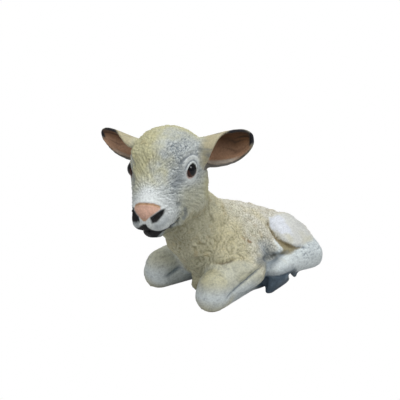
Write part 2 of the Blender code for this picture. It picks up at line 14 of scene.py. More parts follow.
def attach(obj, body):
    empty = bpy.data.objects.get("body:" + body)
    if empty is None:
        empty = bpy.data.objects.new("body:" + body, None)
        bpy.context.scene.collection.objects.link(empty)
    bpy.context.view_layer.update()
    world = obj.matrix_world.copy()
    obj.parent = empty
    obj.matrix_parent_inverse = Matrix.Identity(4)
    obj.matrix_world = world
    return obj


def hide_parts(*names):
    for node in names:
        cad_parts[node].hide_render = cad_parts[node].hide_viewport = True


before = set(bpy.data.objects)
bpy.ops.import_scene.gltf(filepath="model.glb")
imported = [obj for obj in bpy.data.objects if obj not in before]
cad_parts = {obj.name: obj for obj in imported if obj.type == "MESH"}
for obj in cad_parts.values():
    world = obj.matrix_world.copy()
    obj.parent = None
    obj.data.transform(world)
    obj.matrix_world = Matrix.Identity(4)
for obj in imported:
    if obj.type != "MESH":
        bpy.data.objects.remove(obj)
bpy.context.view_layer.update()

# The lamb's skin. The statue is one casting of resin and stone powder, taken from a clay model. The skin
# is the solid casting's, laid again in clay of a finer grain, so that lids, lips, hair and wool can be cut
# to their real depth. The lamb stands SETTLED off the place where it was modelled, to centre its base.
CLAY_GRAIN = 0.00115
RUBS = 26
RUB_STRENGTH = 0.5
STROKE_STEP = 0.001
SETTLED = Vector((0.01278, -0.06116, 0.0))


def fresh_skin(mesh):
    """Takes what the statue's modifiers make as its own mesh."""
    bpy.context.view_layer.update()
    graph = bpy.context.evaluated_depsgraph_get()
    made = bpy.data.meshes.new_from_object(mesh.evaluated_get(graph))
    mesh.modifiers.clear()
    mesh.data = made


casting = bmesh.new()
casting.from_mesh(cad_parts["lamb_statue"].data)
bmesh.ops.remove_doubles(casting, verts=casting.verts, dist=1e-6)
skin_mesh = bpy.data.meshes.new("lamb_skin")
casting.to_mesh(skin_mesh)
casting.free()
lamb = bpy.data.objects.new("lamb_skin", skin_mesh)
bpy.context.scene.collection.objects.link(lamb)
relay = lamb.modifiers.new("relay", "REMESH")
relay.mode = "VOXEL"
relay.voxel_size = CLAY_GRAIN
rub = lamb.modifiers.new("rub", "SMOOTH")
rub.factor = RUB_STRENGTH
rub.iterations = RUBS
fresh_skin(lamb)


class Skin:
    """The clay while it is worked: where its points are, which way they face, and the search for them."""

    def __init__(self, mesh):
        self.mesh = mesh
        self.corners = [tuple(polygon.vertices) for polygon in mesh.polygons]
        self.edges = np.empty(len(mesh.edges) * 2, int)
        mesh.edges.foreach_get("vertices", self.edges)
        self.edges = self.edges.reshape(-1, 2)
        self.points = np.empty(len(mesh.vertices) * 3)
        mesh.vertices.foreach_get("co", self.points)
        self.points = self.points.reshape(-1, 3)
        self.measure()

    def measure(self):
        """Reads the skin again once its points have moved."""
        self.mesh.vertices.foreach_set("co", self.points.ravel())
        self.mesh.update()
        facing = np.empty(self.points.size)
        self.mesh.vertices.foreach_get("normal", facing)
        self.normals = facing.reshape(-1, 3)
        self.surface = BVHTree.FromPolygons(self.points.tolist(), self.corners)

    def path(self, places, place, side):
        """Points 1 mm apart on the surface along a run of places, and the way the surface faces at each."""
        ends = [self.surface.find_nearest(place @ Vector((side * p[0], p[1], p[2])))[0] for p in places]
        laid = []
        for start, end in zip(ends, ends[1:]):
            steps = max(2, round((end - start).length / STROKE_STEP))
            laid += [start.lerp(end, i / steps) for i in range(steps + 1)]
        found = [self.surface.find_nearest(spot)[:2] for spot in laid]
        return np.array([f[0] for f in found]), np.array([f[1] for f in found])

    def nearness(self, places, reach, place, side, fade=0.2):
        """How near each point is to a run of places: 1 on it, 0 at the reach, and less towards its ends."""
        line, facing = self.path(places, place, side)
        low, high = line.min(0) - reach, line.max(0) + reach
        near = np.flatnonzero(((self.points > low) & (self.points < high)).all(1))
        gap = np.linalg.norm(self.points[near, None] - line[None], axis=2)
        nearest = gap.argmin(1)
        along = nearest / (len(line) - 1)
        ends = np.clip(np.minimum(along, 1 - along) / fade, 0, 1) if fade else 1.0
        share = np.clip(1 - (gap.min(1) / reach) ** 2, 0, 1) ** 1.5 * (0.3 + 0.7 * ends)
        same_way = np.clip((self.normals[near] * facing[nearest]).sum(1) * 2, 0, 1)
        return near, share * same_way, facing[nearest]

    def stroke(self, places, reach, depth, place, sides=(1, -1), fade=0.2):
        """Presses a groove along the places, or with a negative depth draws up a ridge."""
        moved = np.zeros_like(self.points)
        for side in sides:
            near, share, facing = self.nearness(places, reach, place, side, fade)
            moved[near] -= facing * (share * depth)[:, None]
        self.points += moved

    def mask(self, places, reach, place, sides=(1, -1), fade=0.0):
        """The same nearness as a brush load for paint, over the whole skin."""
        load = np.zeros(len(self.points))
        for side in sides:
            near, share, _ = self.nearness(places, reach, place, side, fade)
            load[near] = np.maximum(load[near], share)
        return load

    def hollowness(self, rounds):
        """How far each point lies below its surroundings, in metres, and above them where negative."""
        count = len(self.points)
        mean = self.points
        links = np.bincount(self.edges.ravel(), minlength=count)[:, None]
        for _ in range(rounds):
            sums = [
                np.bincount(self.edges[:, 0], mean[self.edges[:, 1], axis], count)
                + np.bincount(self.edges[:, 1], mean[self.edges[:, 0], axis], count)
                for axis in range(3)
            ]
            mean = 0.5 * mean + 0.5 * np.stack(sums, axis=1) / links
        return ((mean - self.points) * self.normals).sum(1)


skin = Skin(lamb.data)

# The head's features: two eyes with lids and folds of brow, the nose pad, nostrils, lips and mouth corners.
# They are cut in the head's own frame, which is turned to the left on the neck. The left eye comes first in
# each pair of values, and each fold of brow is its distance from the eye, its width and its rise.
HEAD_AT = Vector((0.0, -0.032, 0.208)) + SETTLED
HEAD_TURN = 30.0
HEAD_TILT = -4.0
EYE_AT = ((0.0374, -0.0192, 0.0025), (0.0368, -0.0232, 0.0025))
EYE_RADIUS = 0.0118
EYE_OUTWARD = (60.0, 44.0)
EYE_UPWARD = 4.0
EYE_SLANT = 52.0
EYE_LONG = 0.0101
EYE_TALL = 0.0067
LID_AT = 0.0014
LID_WIDTH = 0.0010
LID_HEIGHT = 0.0012
LID_LOWER_SHARE = 0.4
LID_GAP_AT = -0.0002
LID_GAP_WIDTH = 0.0006
LID_GAP_DEPTH = 0.0010
LID_FOLDS = (
    (0.0042, 0.0010, -0.0013),
    (0.0076, 0.0020, 0.0009),
    (0.0124, 0.0013, -0.0014),
    (0.0152, 0.0016, 0.0006),
)
BALL_HOLD = 0.0035
SOCKET_REACH = 0.034
NOSTRIL = ((0.0215, -0.0735, -0.0395), (0.0165, -0.0800, -0.0445), (0.0110, -0.0860, -0.0492))
NOSE_TOP = ((0.0, -0.0795, -0.0280), (0.0105, -0.0785, -0.0288), (0.0175, -0.0760, -0.0322))
PHILTRUM = ((0.0, -0.0875, -0.0530), (0.0, -0.0860, -0.0580), (0.0, -0.0820, -0.0630))
LIPS = (
    (0.0, -0.0790, -0.0672),
    (0.0125, -0.0755, -0.0678),
    (0.0200, -0.0590, -0.0685),
    (0.0273, -0.0424, -0.0642),
)
MOUTH_CORNER = ((0.0265, -0.0412, -0.0600), (0.0278, -0.0402, -0.0575))
CHEEK_WRINKLE = ((0.0300, -0.0540, -0.0350), (0.0349, -0.0419, -0.0386))
MOUTH_WRINKLE = ((0.0356, -0.0346, -0.0480), (0.0349, -0.0307, -0.0565), (0.0334, -0.0351, -0.0607))
TEAR_CORNER = ((0.0400, -0.0345, 0.0010), (0.0378, -0.0375, 0.0005))
TEAR_HOLLOW = ((0.0370, -0.0420, -0.0030), (0.0330, -0.0500, -0.0120))

turn = Matrix.Rotation(math.radians(HEAD_TURN), 4, "Z") @ Matrix.Rotation(math.radians(HEAD_TILT), 4, "Y")
head = Matrix.Translation(HEAD_AT) @ turn
body = Matrix.Translation(SETTLED)


def eye_axes(side):
    """An eye's middle, and the ways out of it, along its slanted opening, across that, and straight up."""
    out, up, slant = (math.radians(a) for a in (EYE_OUTWARD[side < 0], EYE_UPWARD, EYE_SLANT))
    axis = Vector((side * math.sin(out) * math.cos(up), -math.cos(out) * math.cos(up), math.sin(up)))
    level = Vector((-side * math.cos(out), -math.sin(out), 0)).normalized()
    rise = level.cross(axis) if side > 0 else axis.cross(level)
    along = level * math.cos(slant) - rise * math.sin(slant)
    across = rise * math.cos(slant) + level * math.sin(slant)
    x, y, z = EYE_AT[side < 0]
    middle = head @ Vector((side * x, y, z))
    return (np.array(middle), *(np.array(head.to_3x3() @ v) for v in (axis, along, across, rise)))


def round_eye(points, side):
    """How many eye openings off its middle each point is, how far past its edge, and how far up and out."""
    middle, axis, along, across, rise = eye_axes(side)
    offset = points - middle
    ring = np.maximum(np.hypot(offset @ along / EYE_LONG, offset @ across / EYE_TALL), 1e-6)
    flat = np.linalg.norm(offset - np.outer(offset @ axis, axis), axis=1)
    near = (np.linalg.norm(offset, axis=1) < SOCKET_REACH) & (offset @ axis > 0)
    beyond = np.where(near, flat - flat / ring, 1.0)
    upness = (offset @ rise) / np.maximum(flat, 1e-6)
    return np.where(near, ring, 99.0), beyond, upness, offset


for side in (1, -1):
    ring, beyond, upness, offset = round_eye(skin.points, side)
    near = np.flatnonzero(beyond < 0.5)
    beyond, upness, offset = beyond[near], upness[near], offset[near]
    distance = np.linalg.norm(offset, axis=1)
    hold = np.clip((BALL_HOLD - beyond) / BALL_HOLD, 0, 1)
    radius = distance * (1 - hold) + EYE_RADIUS * hold
    upper = np.clip(upness * 1.4 + 0.15, 0, 1)
    lid = np.exp(-(((beyond - LID_AT) / LID_WIDTH) ** 2))
    radius += LID_HEIGHT * lid * (LID_LOWER_SHARE + (1 - LID_LOWER_SHARE) * upper)
    radius -= LID_GAP_DEPTH * np.exp(-(((beyond - LID_GAP_AT) / LID_GAP_WIDTH) ** 2))
    for at, spread, rises in LID_FOLDS:
        radius += rises * np.exp(-(((beyond - at) / spread) ** 2)) * upper
    skin.points[near] += offset / distance[:, None] * (radius - distance)[:, None]
skin.measure()
skin.stroke(TEAR_HOLLOW, 0.0090, 0.0010, head)
skin.stroke(CHEEK_WRINKLE, 0.0040, 0.0014, head)
skin.stroke(MOUTH_WRINKLE, 0.0040, 0.0016, head)
skin.stroke(TEAR_CORNER, 0.0026, 0.0012, head)
skin.stroke(NOSE_TOP, 0.0026, 0.0010, head, fade=0)
skin.stroke(NOSTRIL, 0.0046, 0.0034, head)
skin.stroke(PHILTRUM, 0.0022, 0.0016, head, sides=(1,))
skin.stroke(LIPS, 0.0026, 0.0024, head, fade=0)
skin.stroke(MOUTH_CORNER, 0.0034, 0.0022, head)
skin.measure()

# The body's carved lines: drawn-up locks on the chest, the crease of the neck, the thin groove between the
# folded halves of each foreleg, the crease above the elbow, the crevice in front of the haunch, and the
# edge and split of each hoof. Each is a run of places cut with a loop tool, told for the body's left side.
CHEST_LOCKS = (
    (
        (0.0333, -0.0051, 0.1146), (0.0327, 0.0009, 0.1007), (0.0375, 0.0081, 0.0957),
        (0.0395, 0.0158, 0.0850), (0.0403, 0.0153, 0.0744),
    ),
    (
        (0.0355, 0.0023, 0.1195), (0.0362, 0.0073, 0.1032),
        (0.0408, 0.0166, 0.0945), (0.0464, 0.0194, 0.0815),
    ),
    (
        (0.0167, -0.0137, 0.0840), (0.0248, -0.0092, 0.0947),
        (0.0313, 0.0002, 0.0912), (0.0335, 0.0040, 0.0785),
    ),
    (
        (-0.0032, -0.0017, 0.0535), (0.0032, 0.0083, 0.0447),
        (0.0223, 0.0078, 0.0562), (0.0336, 0.0096, 0.0707),
    ),
    (
        (0.0061, -0.0235, 0.0988), (0.0011, -0.0161, 0.0796),
        (0.0119, -0.0118, 0.0710), (0.0110, -0.0018, 0.0583),
    ),
    (
        (0.0426, 0.0320, 0.1080), (0.0505, 0.0329, 0.0948),
        (0.0534, 0.0266, 0.0819), (0.0598, 0.0326, 0.0730),
    ),
    (
        (0.0383, 0.0223, 0.1184), (0.0427, 0.0263, 0.1064),
        (0.0432, 0.0240, 0.0932),
    ),
)
NECK_CREASE = (
    (0.0199, 0.0257, 0.1566),
    (0.0297, 0.0173, 0.1490),
    (0.0359, 0.0149, 0.1392),
    (0.0365, 0.0201, 0.1260),
)
FORELEG_GROOVE = (
    (0.0776, 0.0115, 0.0245),
    (0.0771, 0.0215, 0.0291),
    (0.0777, 0.0363, 0.0373),
    (0.0788, 0.0790, 0.0536),
)
ELBOW_CREASE = (
    (0.0413, 0.0145, 0.0656),
    (0.0520, 0.0224, 0.0638),
    (0.0584, 0.0340, 0.0658),
    (0.0622, 0.0421, 0.0711),
)
INNER_GROOVE = ((0.0327, -0.0113, 0.0246), (0.0335, 0.0000, 0.0280), (0.0340, 0.0110, 0.0310))
HAUNCH_CREVICE = (
    (0.0381, 0.1281, 0.1003),
    (0.0431, 0.1323, 0.0860),
    (0.0543, 0.1345, 0.0741),
    (0.0667, 0.1372, 0.0690),
    (0.0742, 0.1427, 0.0650),
    (0.0773, 0.1551, 0.0610),
    (0.0786, 0.1673, 0.0598),
)
SHANK_TOP = (
    (0.0700, 0.0900, 0.0570),
    (0.0663, 0.1150, 0.0550),
    (0.0741, 0.1279, 0.0575),
    (0.0774, 0.1352, 0.0599),
)
CORONET_LINE = (
    (0.0712, 0.0959, 0.0290),
    (0.0821, 0.0973, 0.0330),
    (0.0906, 0.1055, 0.0330),
    (0.0920, 0.1233, 0.0345),
)
HOOF_CLEFT = ((0.0720, 0.0930, 0.0260), (0.0700, 0.0930, 0.0160), (0.0720, 0.0950, 0.0060))

for places in CHEST_LOCKS:
    skin.stroke(places, 0.0036, -0.0009, body, sides=(1,))
skin.stroke(NECK_CREASE, 0.0040, 0.0008, body, sides=(1,))
skin.stroke(FORELEG_GROOVE, 0.0024, 0.0016, body)
skin.stroke(ELBOW_CREASE, 0.0024, 0.0007, body)
skin.stroke(INNER_GROOVE, 0.0030, 0.0014, body)
skin.stroke(HAUNCH_CREVICE, 0.0040, 0.0022, body)
skin.stroke(SHANK_TOP, 0.0040, 0.0020, body)
skin.stroke(CORONET_LINE, 0.0024, 0.0010, body)
skin.stroke(HOOF_CLEFT, 0.0024, 0.0016, body)
skin.measure()

# The ears: thin cupped leaves cast in one with the head, each rolled into a funnel at its root. Each point
# of an ear is found again on the leaf it was rolled from, which tells the bowl from the back and how far
# the rim is.
EAR_ROOT = Vector((0.036, 0.016, 0.019))
EAR_TIP = Vector((0.113, 0.030, 0.033))
EAR_SAG = 0.005
EAR_ROOT_WIDTH = 0.026
EAR_WIDTH = 0.040
EAR_CLOSED_AT = 0.28
EAR_OPENS_AT = 0.66
EAR_CURL = 75.0
EAR_ROLL_ABOVE = (155.0, 85.0)
EAR_ROLL_BELOW = 60.0
RIGHT_EAR_OUT = 0.004
RIGHT_EAR_UP = 0.006
LEAF_ROWS = 110
LEAF_COLUMNS = 80
EAR_THICKNESS = 0.009
EAR_STARTS = 0.048
EAR_BLEND = 0.011


def leaf_place(u, across, side):
    """A place on an ear's leaf, in the head's frame, and the way into its bowl there."""
    grown = math.sin(min(u / 0.6, 1.0) * math.pi / 2)
    rounding = math.sqrt(max(0.02, 1 - (max(0.0, u - 0.6) / 0.4) ** 2))
    width = (EAR_ROOT_WIDTH + (EAR_WIDTH - EAR_ROOT_WIDTH) * grown) * rounding
    rolled = min(1.0, max(0.0, (EAR_OPENS_AT - u) / (EAR_OPENS_AT - EAR_CLOSED_AT)))
    above = math.radians(EAR_CURL + EAR_ROLL_ABOVE[side < 0] * rolled)
    below = math.radians(EAR_CURL + EAR_ROLL_BELOW * (1 - u) ** 2)
    angle = above * (1 + across) / 2 - below * (1 - across) / 2
    radius = width / (math.sin(min(above, math.pi / 2)) + math.sin(min(below, math.pi / 2)))
    spot = EAR_ROOT.lerp(EAR_TIP, u)
    spot.y += radius * (math.cos(angle) - math.cos(math.radians(EAR_CURL)))
    spot.z += radius * math.sin(angle) - EAR_SAG * math.sin(math.pi * u)
    if side < 0:
        spot.x += RIGHT_EAR_OUT * u
        spot.z += RIGHT_EAR_UP * u
    spot.x *= side
    return spot, Vector((0, -math.cos(angle), -math.sin(angle)))


to_head = np.array(head.inverted())
local = skin.points @ to_head[:3, :3].T + to_head[:3, 3]
local_normals = skin.normals @ to_head[:3, :3].T
leaf = [
    (*leaf_place(u, across, side), u, across)
    for side in (1, -1)
    for u in np.linspace(0, 1, LEAF_ROWS + 1).tolist()
    for across in np.linspace(-1, 1, LEAF_COLUMNS + 1).tolist()
]
leaf_tree = KDTree(len(leaf))
for index, (spot, *_) in enumerate(leaf):
    leaf_tree.insert(spot, index)
leaf_tree.balance()
ear, bowl, rim, ear_along, ear_across = np.zeros((5, len(local)))
for index in np.flatnonzero((abs(local[:, 0]) > 0.040) & (local[:, 2] > -0.03) & (local[:, 1] > -0.022)):
    _, found, gap = leaf_tree.find(local[index])
    spot, inward, u, across = leaf[found]
    on_leaf = gap < EAR_THICKNESS
    ear[index] = np.clip((abs(local[index, 0]) - EAR_STARTS) / EAR_BLEND, 0, 1) * on_leaf
    inside = np.clip(float(np.dot(local_normals[index], inward)) * 3 + 0.4, 0, 1)
    edge = max(abs(across), (u - 0.55) / 0.45 * 1.02)
    bowl[index] = inside * np.clip((0.97 - edge) / 0.10, 0, 1) * on_leaf
    rim[index] = np.clip((edge - 0.84) / 0.10, 0, 1) * on_leaf
    ear_along[index], ear_across[index] = u, across


def smooth_step(value, low, high):
    """0 below the low value, 1 above the high one, and an even rise between them."""
    share = np.clip((value - low) / (high - low), 0, 1)
    return share * share * (3 - 2 * share)


# The hair and wool, cut into the clay. The face has short wisps that run back from the nose, the left side
# of the brow has tufts, the neck and chest wavy locks, the trunk a tight curly fleece, and the legs hair so
# short that they look smooth. The lumps are the middles and half sizes of the folded legs' parts.
WISP_HEIGHT = 0.0016
BROW_HEIGHT = 0.0017
LOCK_HEIGHT = 0.0019
CURL_HEIGHT = 0.0012
HAIR_HEIGHT = 0.00040
WISPS_AROUND = 24
WISP_LONG = 0.0120
WISP_LEAN = np.array((0.45, 0.25, 0.85))
BROW_TUFT = (0.0060, 0.0060, 0.0052)
CROWN_TUFT = (0.0050, 0.0070, 0.0050)
LOCK_WAVE = 0.022
LOCK_SIZE = np.array((0.0085, 0.0085, 0.0240))
CURL_SIZE = (0.0048, 0.0048, 0.0056)
HAIR_SIZE = (0.0030, 0.0055, 0.0030)
HAIR_DRIFT = 0.009
RAGGED_EDGE = 0.006
RAGGED_SIZE = 0.012
NOSE_AT = np.array((0.0, -0.080, -0.020))
LEG_LUMPS = (
    (0.056, 0.004, 0.033, 0.026, 0.027, 0.026),
    (0.058, 0.045, 0.036, 0.025, 0.040, 0.025),
    (0.050, 0.050, 0.016, 0.022, 0.060, 0.020),
    (0.040, 0.100, 0.013, 0.016, 0.022, 0.018),
    (0.069, 0.196, 0.036, 0.022, 0.022, 0.023),
    (0.073, 0.166, 0.040, 0.020, 0.040, 0.020),
    (0.078, 0.136, 0.039, 0.018, 0.022, 0.019),
    (0.080, 0.110, 0.036, 0.018, 0.020, 0.018),
)
LUMP_GROWN = 1.32
HOOF_FRONT = 0.088
HOOF_BACK = 0.136
HOOF_INNER = 0.058
HOOF_TOP = 0.0325
HOOF_TOP_LEAN = 0.30
HOOF_TOP_FLAT_AT = 0.080
SOLE_FROM = 0.104
SOLE_LONG = 0.040
SOLE_RISE = 0.30
SOLE_PAST = 0.009
HAUNCH_HEIGHTS = (0.030, 0.060, 0.062, 0.070, 0.080, 0.090, 0.105)
HAUNCH_FRONTS = (0.160, 0.160, 0.152, 0.1375, 0.136, 0.133, 0.137)
FOLD_WASHES = ((0.0042, 0.0010, 0.65), (0.0124, 0.0012, 0.45))
FACE_REACH = 0.13
FACE_LOWEST = -0.087
FINE_HOLLOW = 0.00032
BROAD_HOLLOW = 0.0007
RIGHT_SHIFT = 0.006
RIGHT_KNEE_FORWARD = 0.010


def cloud(places, seed):
    """Smooth seeded noise from -1 to 1, with lumps about one unit across."""
    dice = np.random.default_rng(seed)
    order = dice.permutation(256)
    ways = dice.normal(size=(256, 3))
    ways /= np.linalg.norm(ways, axis=1)[:, None]
    cell = np.floor(places).astype(int)
    part = places - cell
    fade = part**3 * (part * (part * 6 - 15) + 10)
    total = np.zeros(len(places))
    for corner in itertools.product((0, 1), repeat=3):
        x, y, z = (cell + corner).T & 255
        way = ways[order[(order[(order[x] + y) & 255] + z) & 255]]
        weight = np.prod(np.where(corner, fade, 1 - fade), axis=1)
        total += ((part - corner) * way).sum(1) * weight
    return total * 1.6


def tufts(places, seed):
    """Seeded rounded tufts about one unit across: 1 on the crown of each, 0 in the gaps between them."""
    dice = np.random.default_rng(seed)
    order = dice.permutation(256)
    scatter = dice.uniform(0.15, 0.85, size=(256, 3))
    cell = np.floor(places).astype(int)
    first = np.full(len(places), 9.0)
    second = first.copy()
    for corner in itertools.product((-1, 0, 1), repeat=3):
        x, y, z = (cell + corner).T & 255
        seeds = cell + corner + scatter[order[(order[(order[x] + y) & 255] + z) & 255]]
        gap = np.linalg.norm(places - seeds, axis=1)
        second = np.minimum(second, np.maximum(first, gap))
        first = np.minimum(first, gap)
    return np.clip((second - first) / 0.45, 0, 1) ** 0.7 * (1.1 - 0.5 * first)


def drift(places, seed, amount):
    """The same places pushed about by noise, so that hair and locks wave."""
    return places + amount * np.stack([cloud(places, seed + k) for k in range(3)], axis=1)


def in_lumps(lumps, grown):
    """1 inside any of the lumps on either side of the body, fading to 0 at their grown skins."""
    share = np.zeros(len(skin.points))
    for x, y, z, wide, long, tall in lumps:
        for side in (1, -1):
            middle = (x, y, z) if side > 0 else (RIGHT_SHIFT - x, y - RIGHT_KNEE_FORWARD * (y < 0.05), z)
            away = np.linalg.norm((own - middle) / (wide * grown, long * grown, tall * grown), axis=1)
            share = np.maximum(share, np.clip((1 - away) * 4, 0, 1))
    return share


# Where the face, wool, legs, haunches and hooves begin and end, as shares from 0 to 1 at each point.
own = skin.points - np.array(SETTLED)
left, back, up = own.T
sideways, behind, above = local.T
ragged = RAGGED_EDGE * cloud(own / RAGGED_SIZE, 7)
below_head = smooth_step(-above + ragged, 0.046, 0.060)
behind_head = smooth_step(behind + ragged, 0.022, 0.040) * (1 - ear)
neckline = np.maximum(below_head * smooth_step(behind + ragged, -0.038, -0.024), behind_head)
face = (1 - neckline) * (above > FACE_LOWEST) * (1 - ear)
face *= np.linalg.norm(local, axis=1) < FACE_REACH
flank = np.where(left > 0, left, RIGHT_SHIFT - left)
hoof_edge = HOOF_TOP + HOOF_TOP_LEAN * (flank - HOOF_TOP_FLAT_AT)
hoof_top = smooth_step(hoof_edge - up, -0.001, 0.001)
hooves = hoof_top * (flank > HOOF_INNER) * (back > HOOF_FRONT)
hooves *= smooth_step(HOOF_BACK - back, 0.0, 0.003)
legs = np.maximum(in_lumps(LEG_LUMPS, LUMP_GROWN), hooves)
sole = SOLE_RISE * np.clip(back - SOLE_FROM, 0, SOLE_LONG) * smooth_step(flank, 0.056, 0.062)
sole *= smooth_step(HOOF_BACK + SOLE_PAST - back, 0.0, 0.003) * np.clip(1 - up / HOOF_TOP, 0, 1)
skin.points[:, 2] += sole
hock = smooth_step(back, 0.145, 0.152) * smooth_step(0.066 - up, 0, 0.006)
hock *= smooth_step(flank, 0.046, 0.054)
legs = np.maximum(legs, hock)
haunch_edge = np.interp(up, HAUNCH_HEIGHTS, HAUNCH_FRONTS)
haunch = smooth_step(back - haunch_edge + 0.2 * ragged, -0.0012, 0.0012)
haunch *= smooth_step(flank, 0.026, 0.034)
haunch *= smooth_step(0.212 - back, 0.0, 0.012) * smooth_step(up, 0.040, 0.046)
wool = np.clip(1 - face - ear, 0, 1) * (1 - legs) * (1 - haunch)
neck = wool * smooth_step(-back + ragged * 2, -0.078, -0.030)
trunk = wool - neck

eyes, lids, folds, lid_edge = np.zeros((4, len(own)))
forward = np.array(head.to_3x3() @ Vector((0, -1, 0)))
for side in (1, -1):
    ring, beyond, upness, offset = round_eye(skin.points, side)
    eyes = np.maximum(eyes, np.clip(-beyond / 0.0006 + 0.5, 0, 1))
    spread = 0.0045 + 0.012 * np.clip(upness, 0, 1) + 0.008 * np.clip(-upness, 0, 1)
    noseward = offset @ forward - EYE_RADIUS * math.cos(math.radians(EYE_OUTWARD[side < 0]))
    open_side = 1 - 0.75 * smooth_step(noseward, 0.0050, 0.0110) * np.clip((0.9 - upness) * 3, 0, 1)
    lids = np.maximum(lids, np.clip((spread + 0.001 - beyond) / 0.0065, 0, 1) * open_side)
    under = np.clip(0.35 - upness, 0, 1)
    lid_edge = np.maximum(lid_edge, under * np.clip(1.4 - abs(beyond - 0.0008) / 0.0012, 0, 1))
    over = np.clip(upness * 2 + 0.05, 0, 1)
    for at, spread, load in FOLD_WASHES:
        folds = np.maximum(folds, load * over * np.clip(1.3 - abs(beyond - at) / spread, 0, 1))
muzzle = smooth_step(-behind, 0.064, 0.076) * face
chin = smooth_step(-above, 0.058, 0.064) * smooth_step(-behind, 0.040, 0.052) * face
bare = np.maximum(lids, np.maximum(muzzle, chin))

# The relief: what each kind of hair adds to the skin.
ray = local - NOSE_AT
reach = np.linalg.norm(ray, axis=1)
flow = ray / np.maximum(reach, 1e-6)[:, None]
wisp_places = flow * WISPS_AROUND + (reach / WISP_LONG)[:, None] * WISP_LEAN
wisps = cloud(drift(wisp_places, 11, 0.40), 21)
fine_wisps = tufts(drift(wisp_places * (1.7, 1.7, 1.2), 14, 0.40), 24) - 0.5
broad_wisps = cloud(drift(wisp_places * 0.45, 12, 0.5), 22)
wisp = 0.9 * wisps + 0.75 * fine_wisps + 0.8 * broad_wisps
crown = smooth_step(behind - 0.6 * sideways + 0.25 * above, -0.045, -0.005)
brow = smooth_step(sideways, 0.008, 0.022) * smooth_step(above + 1.5 * ragged, -0.012, 0.012)
brow_tufts = tufts(drift(local / BROW_TUFT, 16, 0.8), 26) - 0.5
crown_tufts = tufts(drift(local / CROWN_TUFT, 13, 0.6), 23) - 0.55
wisp = wisp * (1 - crown) + (crown_tufts + 0.4 * broad_wisps) * crown
lock_places = drift(own / LOCK_WAVE, 31, 0.65) * (LOCK_WAVE / LOCK_SIZE)
waves = cloud(lock_places, 33)
lock = np.clip(np.sqrt(waves**2 + 0.012) * 1.7, 0, 1) - 0.45
lock *= smooth_step(cloud(own / 0.030, 35) + 0.5 * smooth_step(-up, -0.115, -0.080), -0.35, 0.35)
curl_places = drift(own / CURL_SIZE, 41, 0.6)
curl = tufts(curl_places, 43) - 0.55 + 0.45 * cloud(curl_places * 0.4, 44)
hair = cloud(drift(own / HAIR_SIZE, 50, 0.5), 51) + 0.5 * cloud(own / HAIR_DRIFT, 52)
height = (WISP_HEIGHT * wisp * (1 - 0.4 * brow) + BROW_HEIGHT * brow * brow_tufts) * face * (1 - bare)
height += LOCK_HEIGHT * lock * neck + CURL_HEIGHT * curl * (trunk + 0.60 * neck + 0.22 * haunch)
height += HAIR_HEIGHT * hair * (legs + haunch) * (1 - hooves)
on_ground = smooth_step(skin.points[:, 2], 0.0005, 0.006)
skin.points += skin.normals * (height * on_ground)[:, None]
skin.points[:, 2] = np.maximum(skin.points[:, 2], 0)
skin.measure()
fine_hollow = np.clip(skin.hollowness(6) / FINE_HOLLOW, -1, 1)
broad_hollow = np.clip(skin.hollowness(16) / BROAD_HOLLOW, -1, 1)

# The paint: cream and ochre sprayed over the wool, white and blue-grey over the face and legs, a dark wash
# wiped into the hollows, and the rest brushed by hand. Painted shade and painted light are laid with it,
# and each is said where it is laid. Outlines are told as across and up on the head, as back and up on the
# flank, and each patch of painted shade as its middle, spread and load.
WOOL_CREAM = (214, 212, 184)
WOOL_OCHRE = (188, 164, 108)
WOOL_YELLOW = (218, 210, 170)
WOOL_OLIVE = (138, 135, 108)
WOOL_WHITE = (232, 230, 220)
FACE_WHITE = (202, 208, 206)
FACE_CREAM = (206, 203, 162)
GREY_WASH_AND_SHADE = (104, 114, 122)
OLIVE_WASH_AND_SHADE = (138, 134, 108)
BROWN_WASH = (120, 102, 68)
LEG_WHITE = (218, 227, 229)
LEG_CREAM = (198, 194, 160)
LEG_WASH = (104, 118, 132)
HAUNCH_WHITE = (216, 218, 215)
HAUNCH_BLUE = (224, 229, 238)
HOOF_SLATE = (76, 92, 106)
HOOF_BLUE = (104, 122, 138)
SHADE_BLUE = (96, 108, 120)
CREVICE_OLIVE = (146, 138, 108)
SPOT_BROWN = (138, 100, 54)
NOSE_PINK = (206, 167, 147)
NOSE_OCHRE = (186, 146, 98)
LIP_BLACK = (24, 24, 26)
BLAZE_WHITE = (236, 242, 242)
EAR_BROWN = (118, 82, 50)
EAR_PINK = (190, 152, 124)
EAR_LINING = (190, 184, 172)
EAR_BROWN_DARK = (64, 44, 28)
EAR_DARK = (34, 34, 40)
EAR_CREAM = (186, 177, 146)
SOCKET_GREY = (138, 146, 154)
LID_PINK = (170, 134, 120)
EAR_FOLD = ((0.0500, -0.0042, 0.0300), (0.0560, -0.0061, 0.0239), (0.0616, -0.0067, 0.0190))
NOSE_PAD = (
    (-0.0100, -0.0268),
    (0.0000, -0.0268),
    (0.0105, -0.0275),
    (0.0165, -0.0308),
    (0.0190, -0.0352),
    (0.0078, -0.0428),
    (0.0014, -0.0486),
    (-0.0100, -0.0486),
)
NOSTRIL_PAINT = (
    (0.0076, -0.0434),
    (0.0187, -0.0360),
    (0.0232, -0.0362),
    (0.0206, -0.0436),
    (0.0142, -0.0517),
    (0.0086, -0.0526),
)
CHIN_PAINT = (
    (-0.0025, -0.0530),
    (0.0008, -0.0540),
    (0.0032, -0.0580),
    (0.0060, -0.0622),
    (0.0137, -0.0652),
    (0.0230, -0.0628),
    (0.0245, -0.0650),
    (0.0160, -0.0685),
    (0.0110, -0.0735),
    (0.0050, -0.0800),
    (-0.0300, -0.0800),
    (-0.0300, -0.0640),
    (-0.0130, -0.0610),
    (-0.0070, -0.0560),
)
LOWER_LIP = ((0.0140, -0.0765, -0.0680), (0.0205, -0.0670, -0.0672), (0.0223, -0.0500, -0.0690))
MUZZLE_SIDE = ((0.0250, -0.0640, -0.0350), (0.0270, -0.0580, -0.0480))
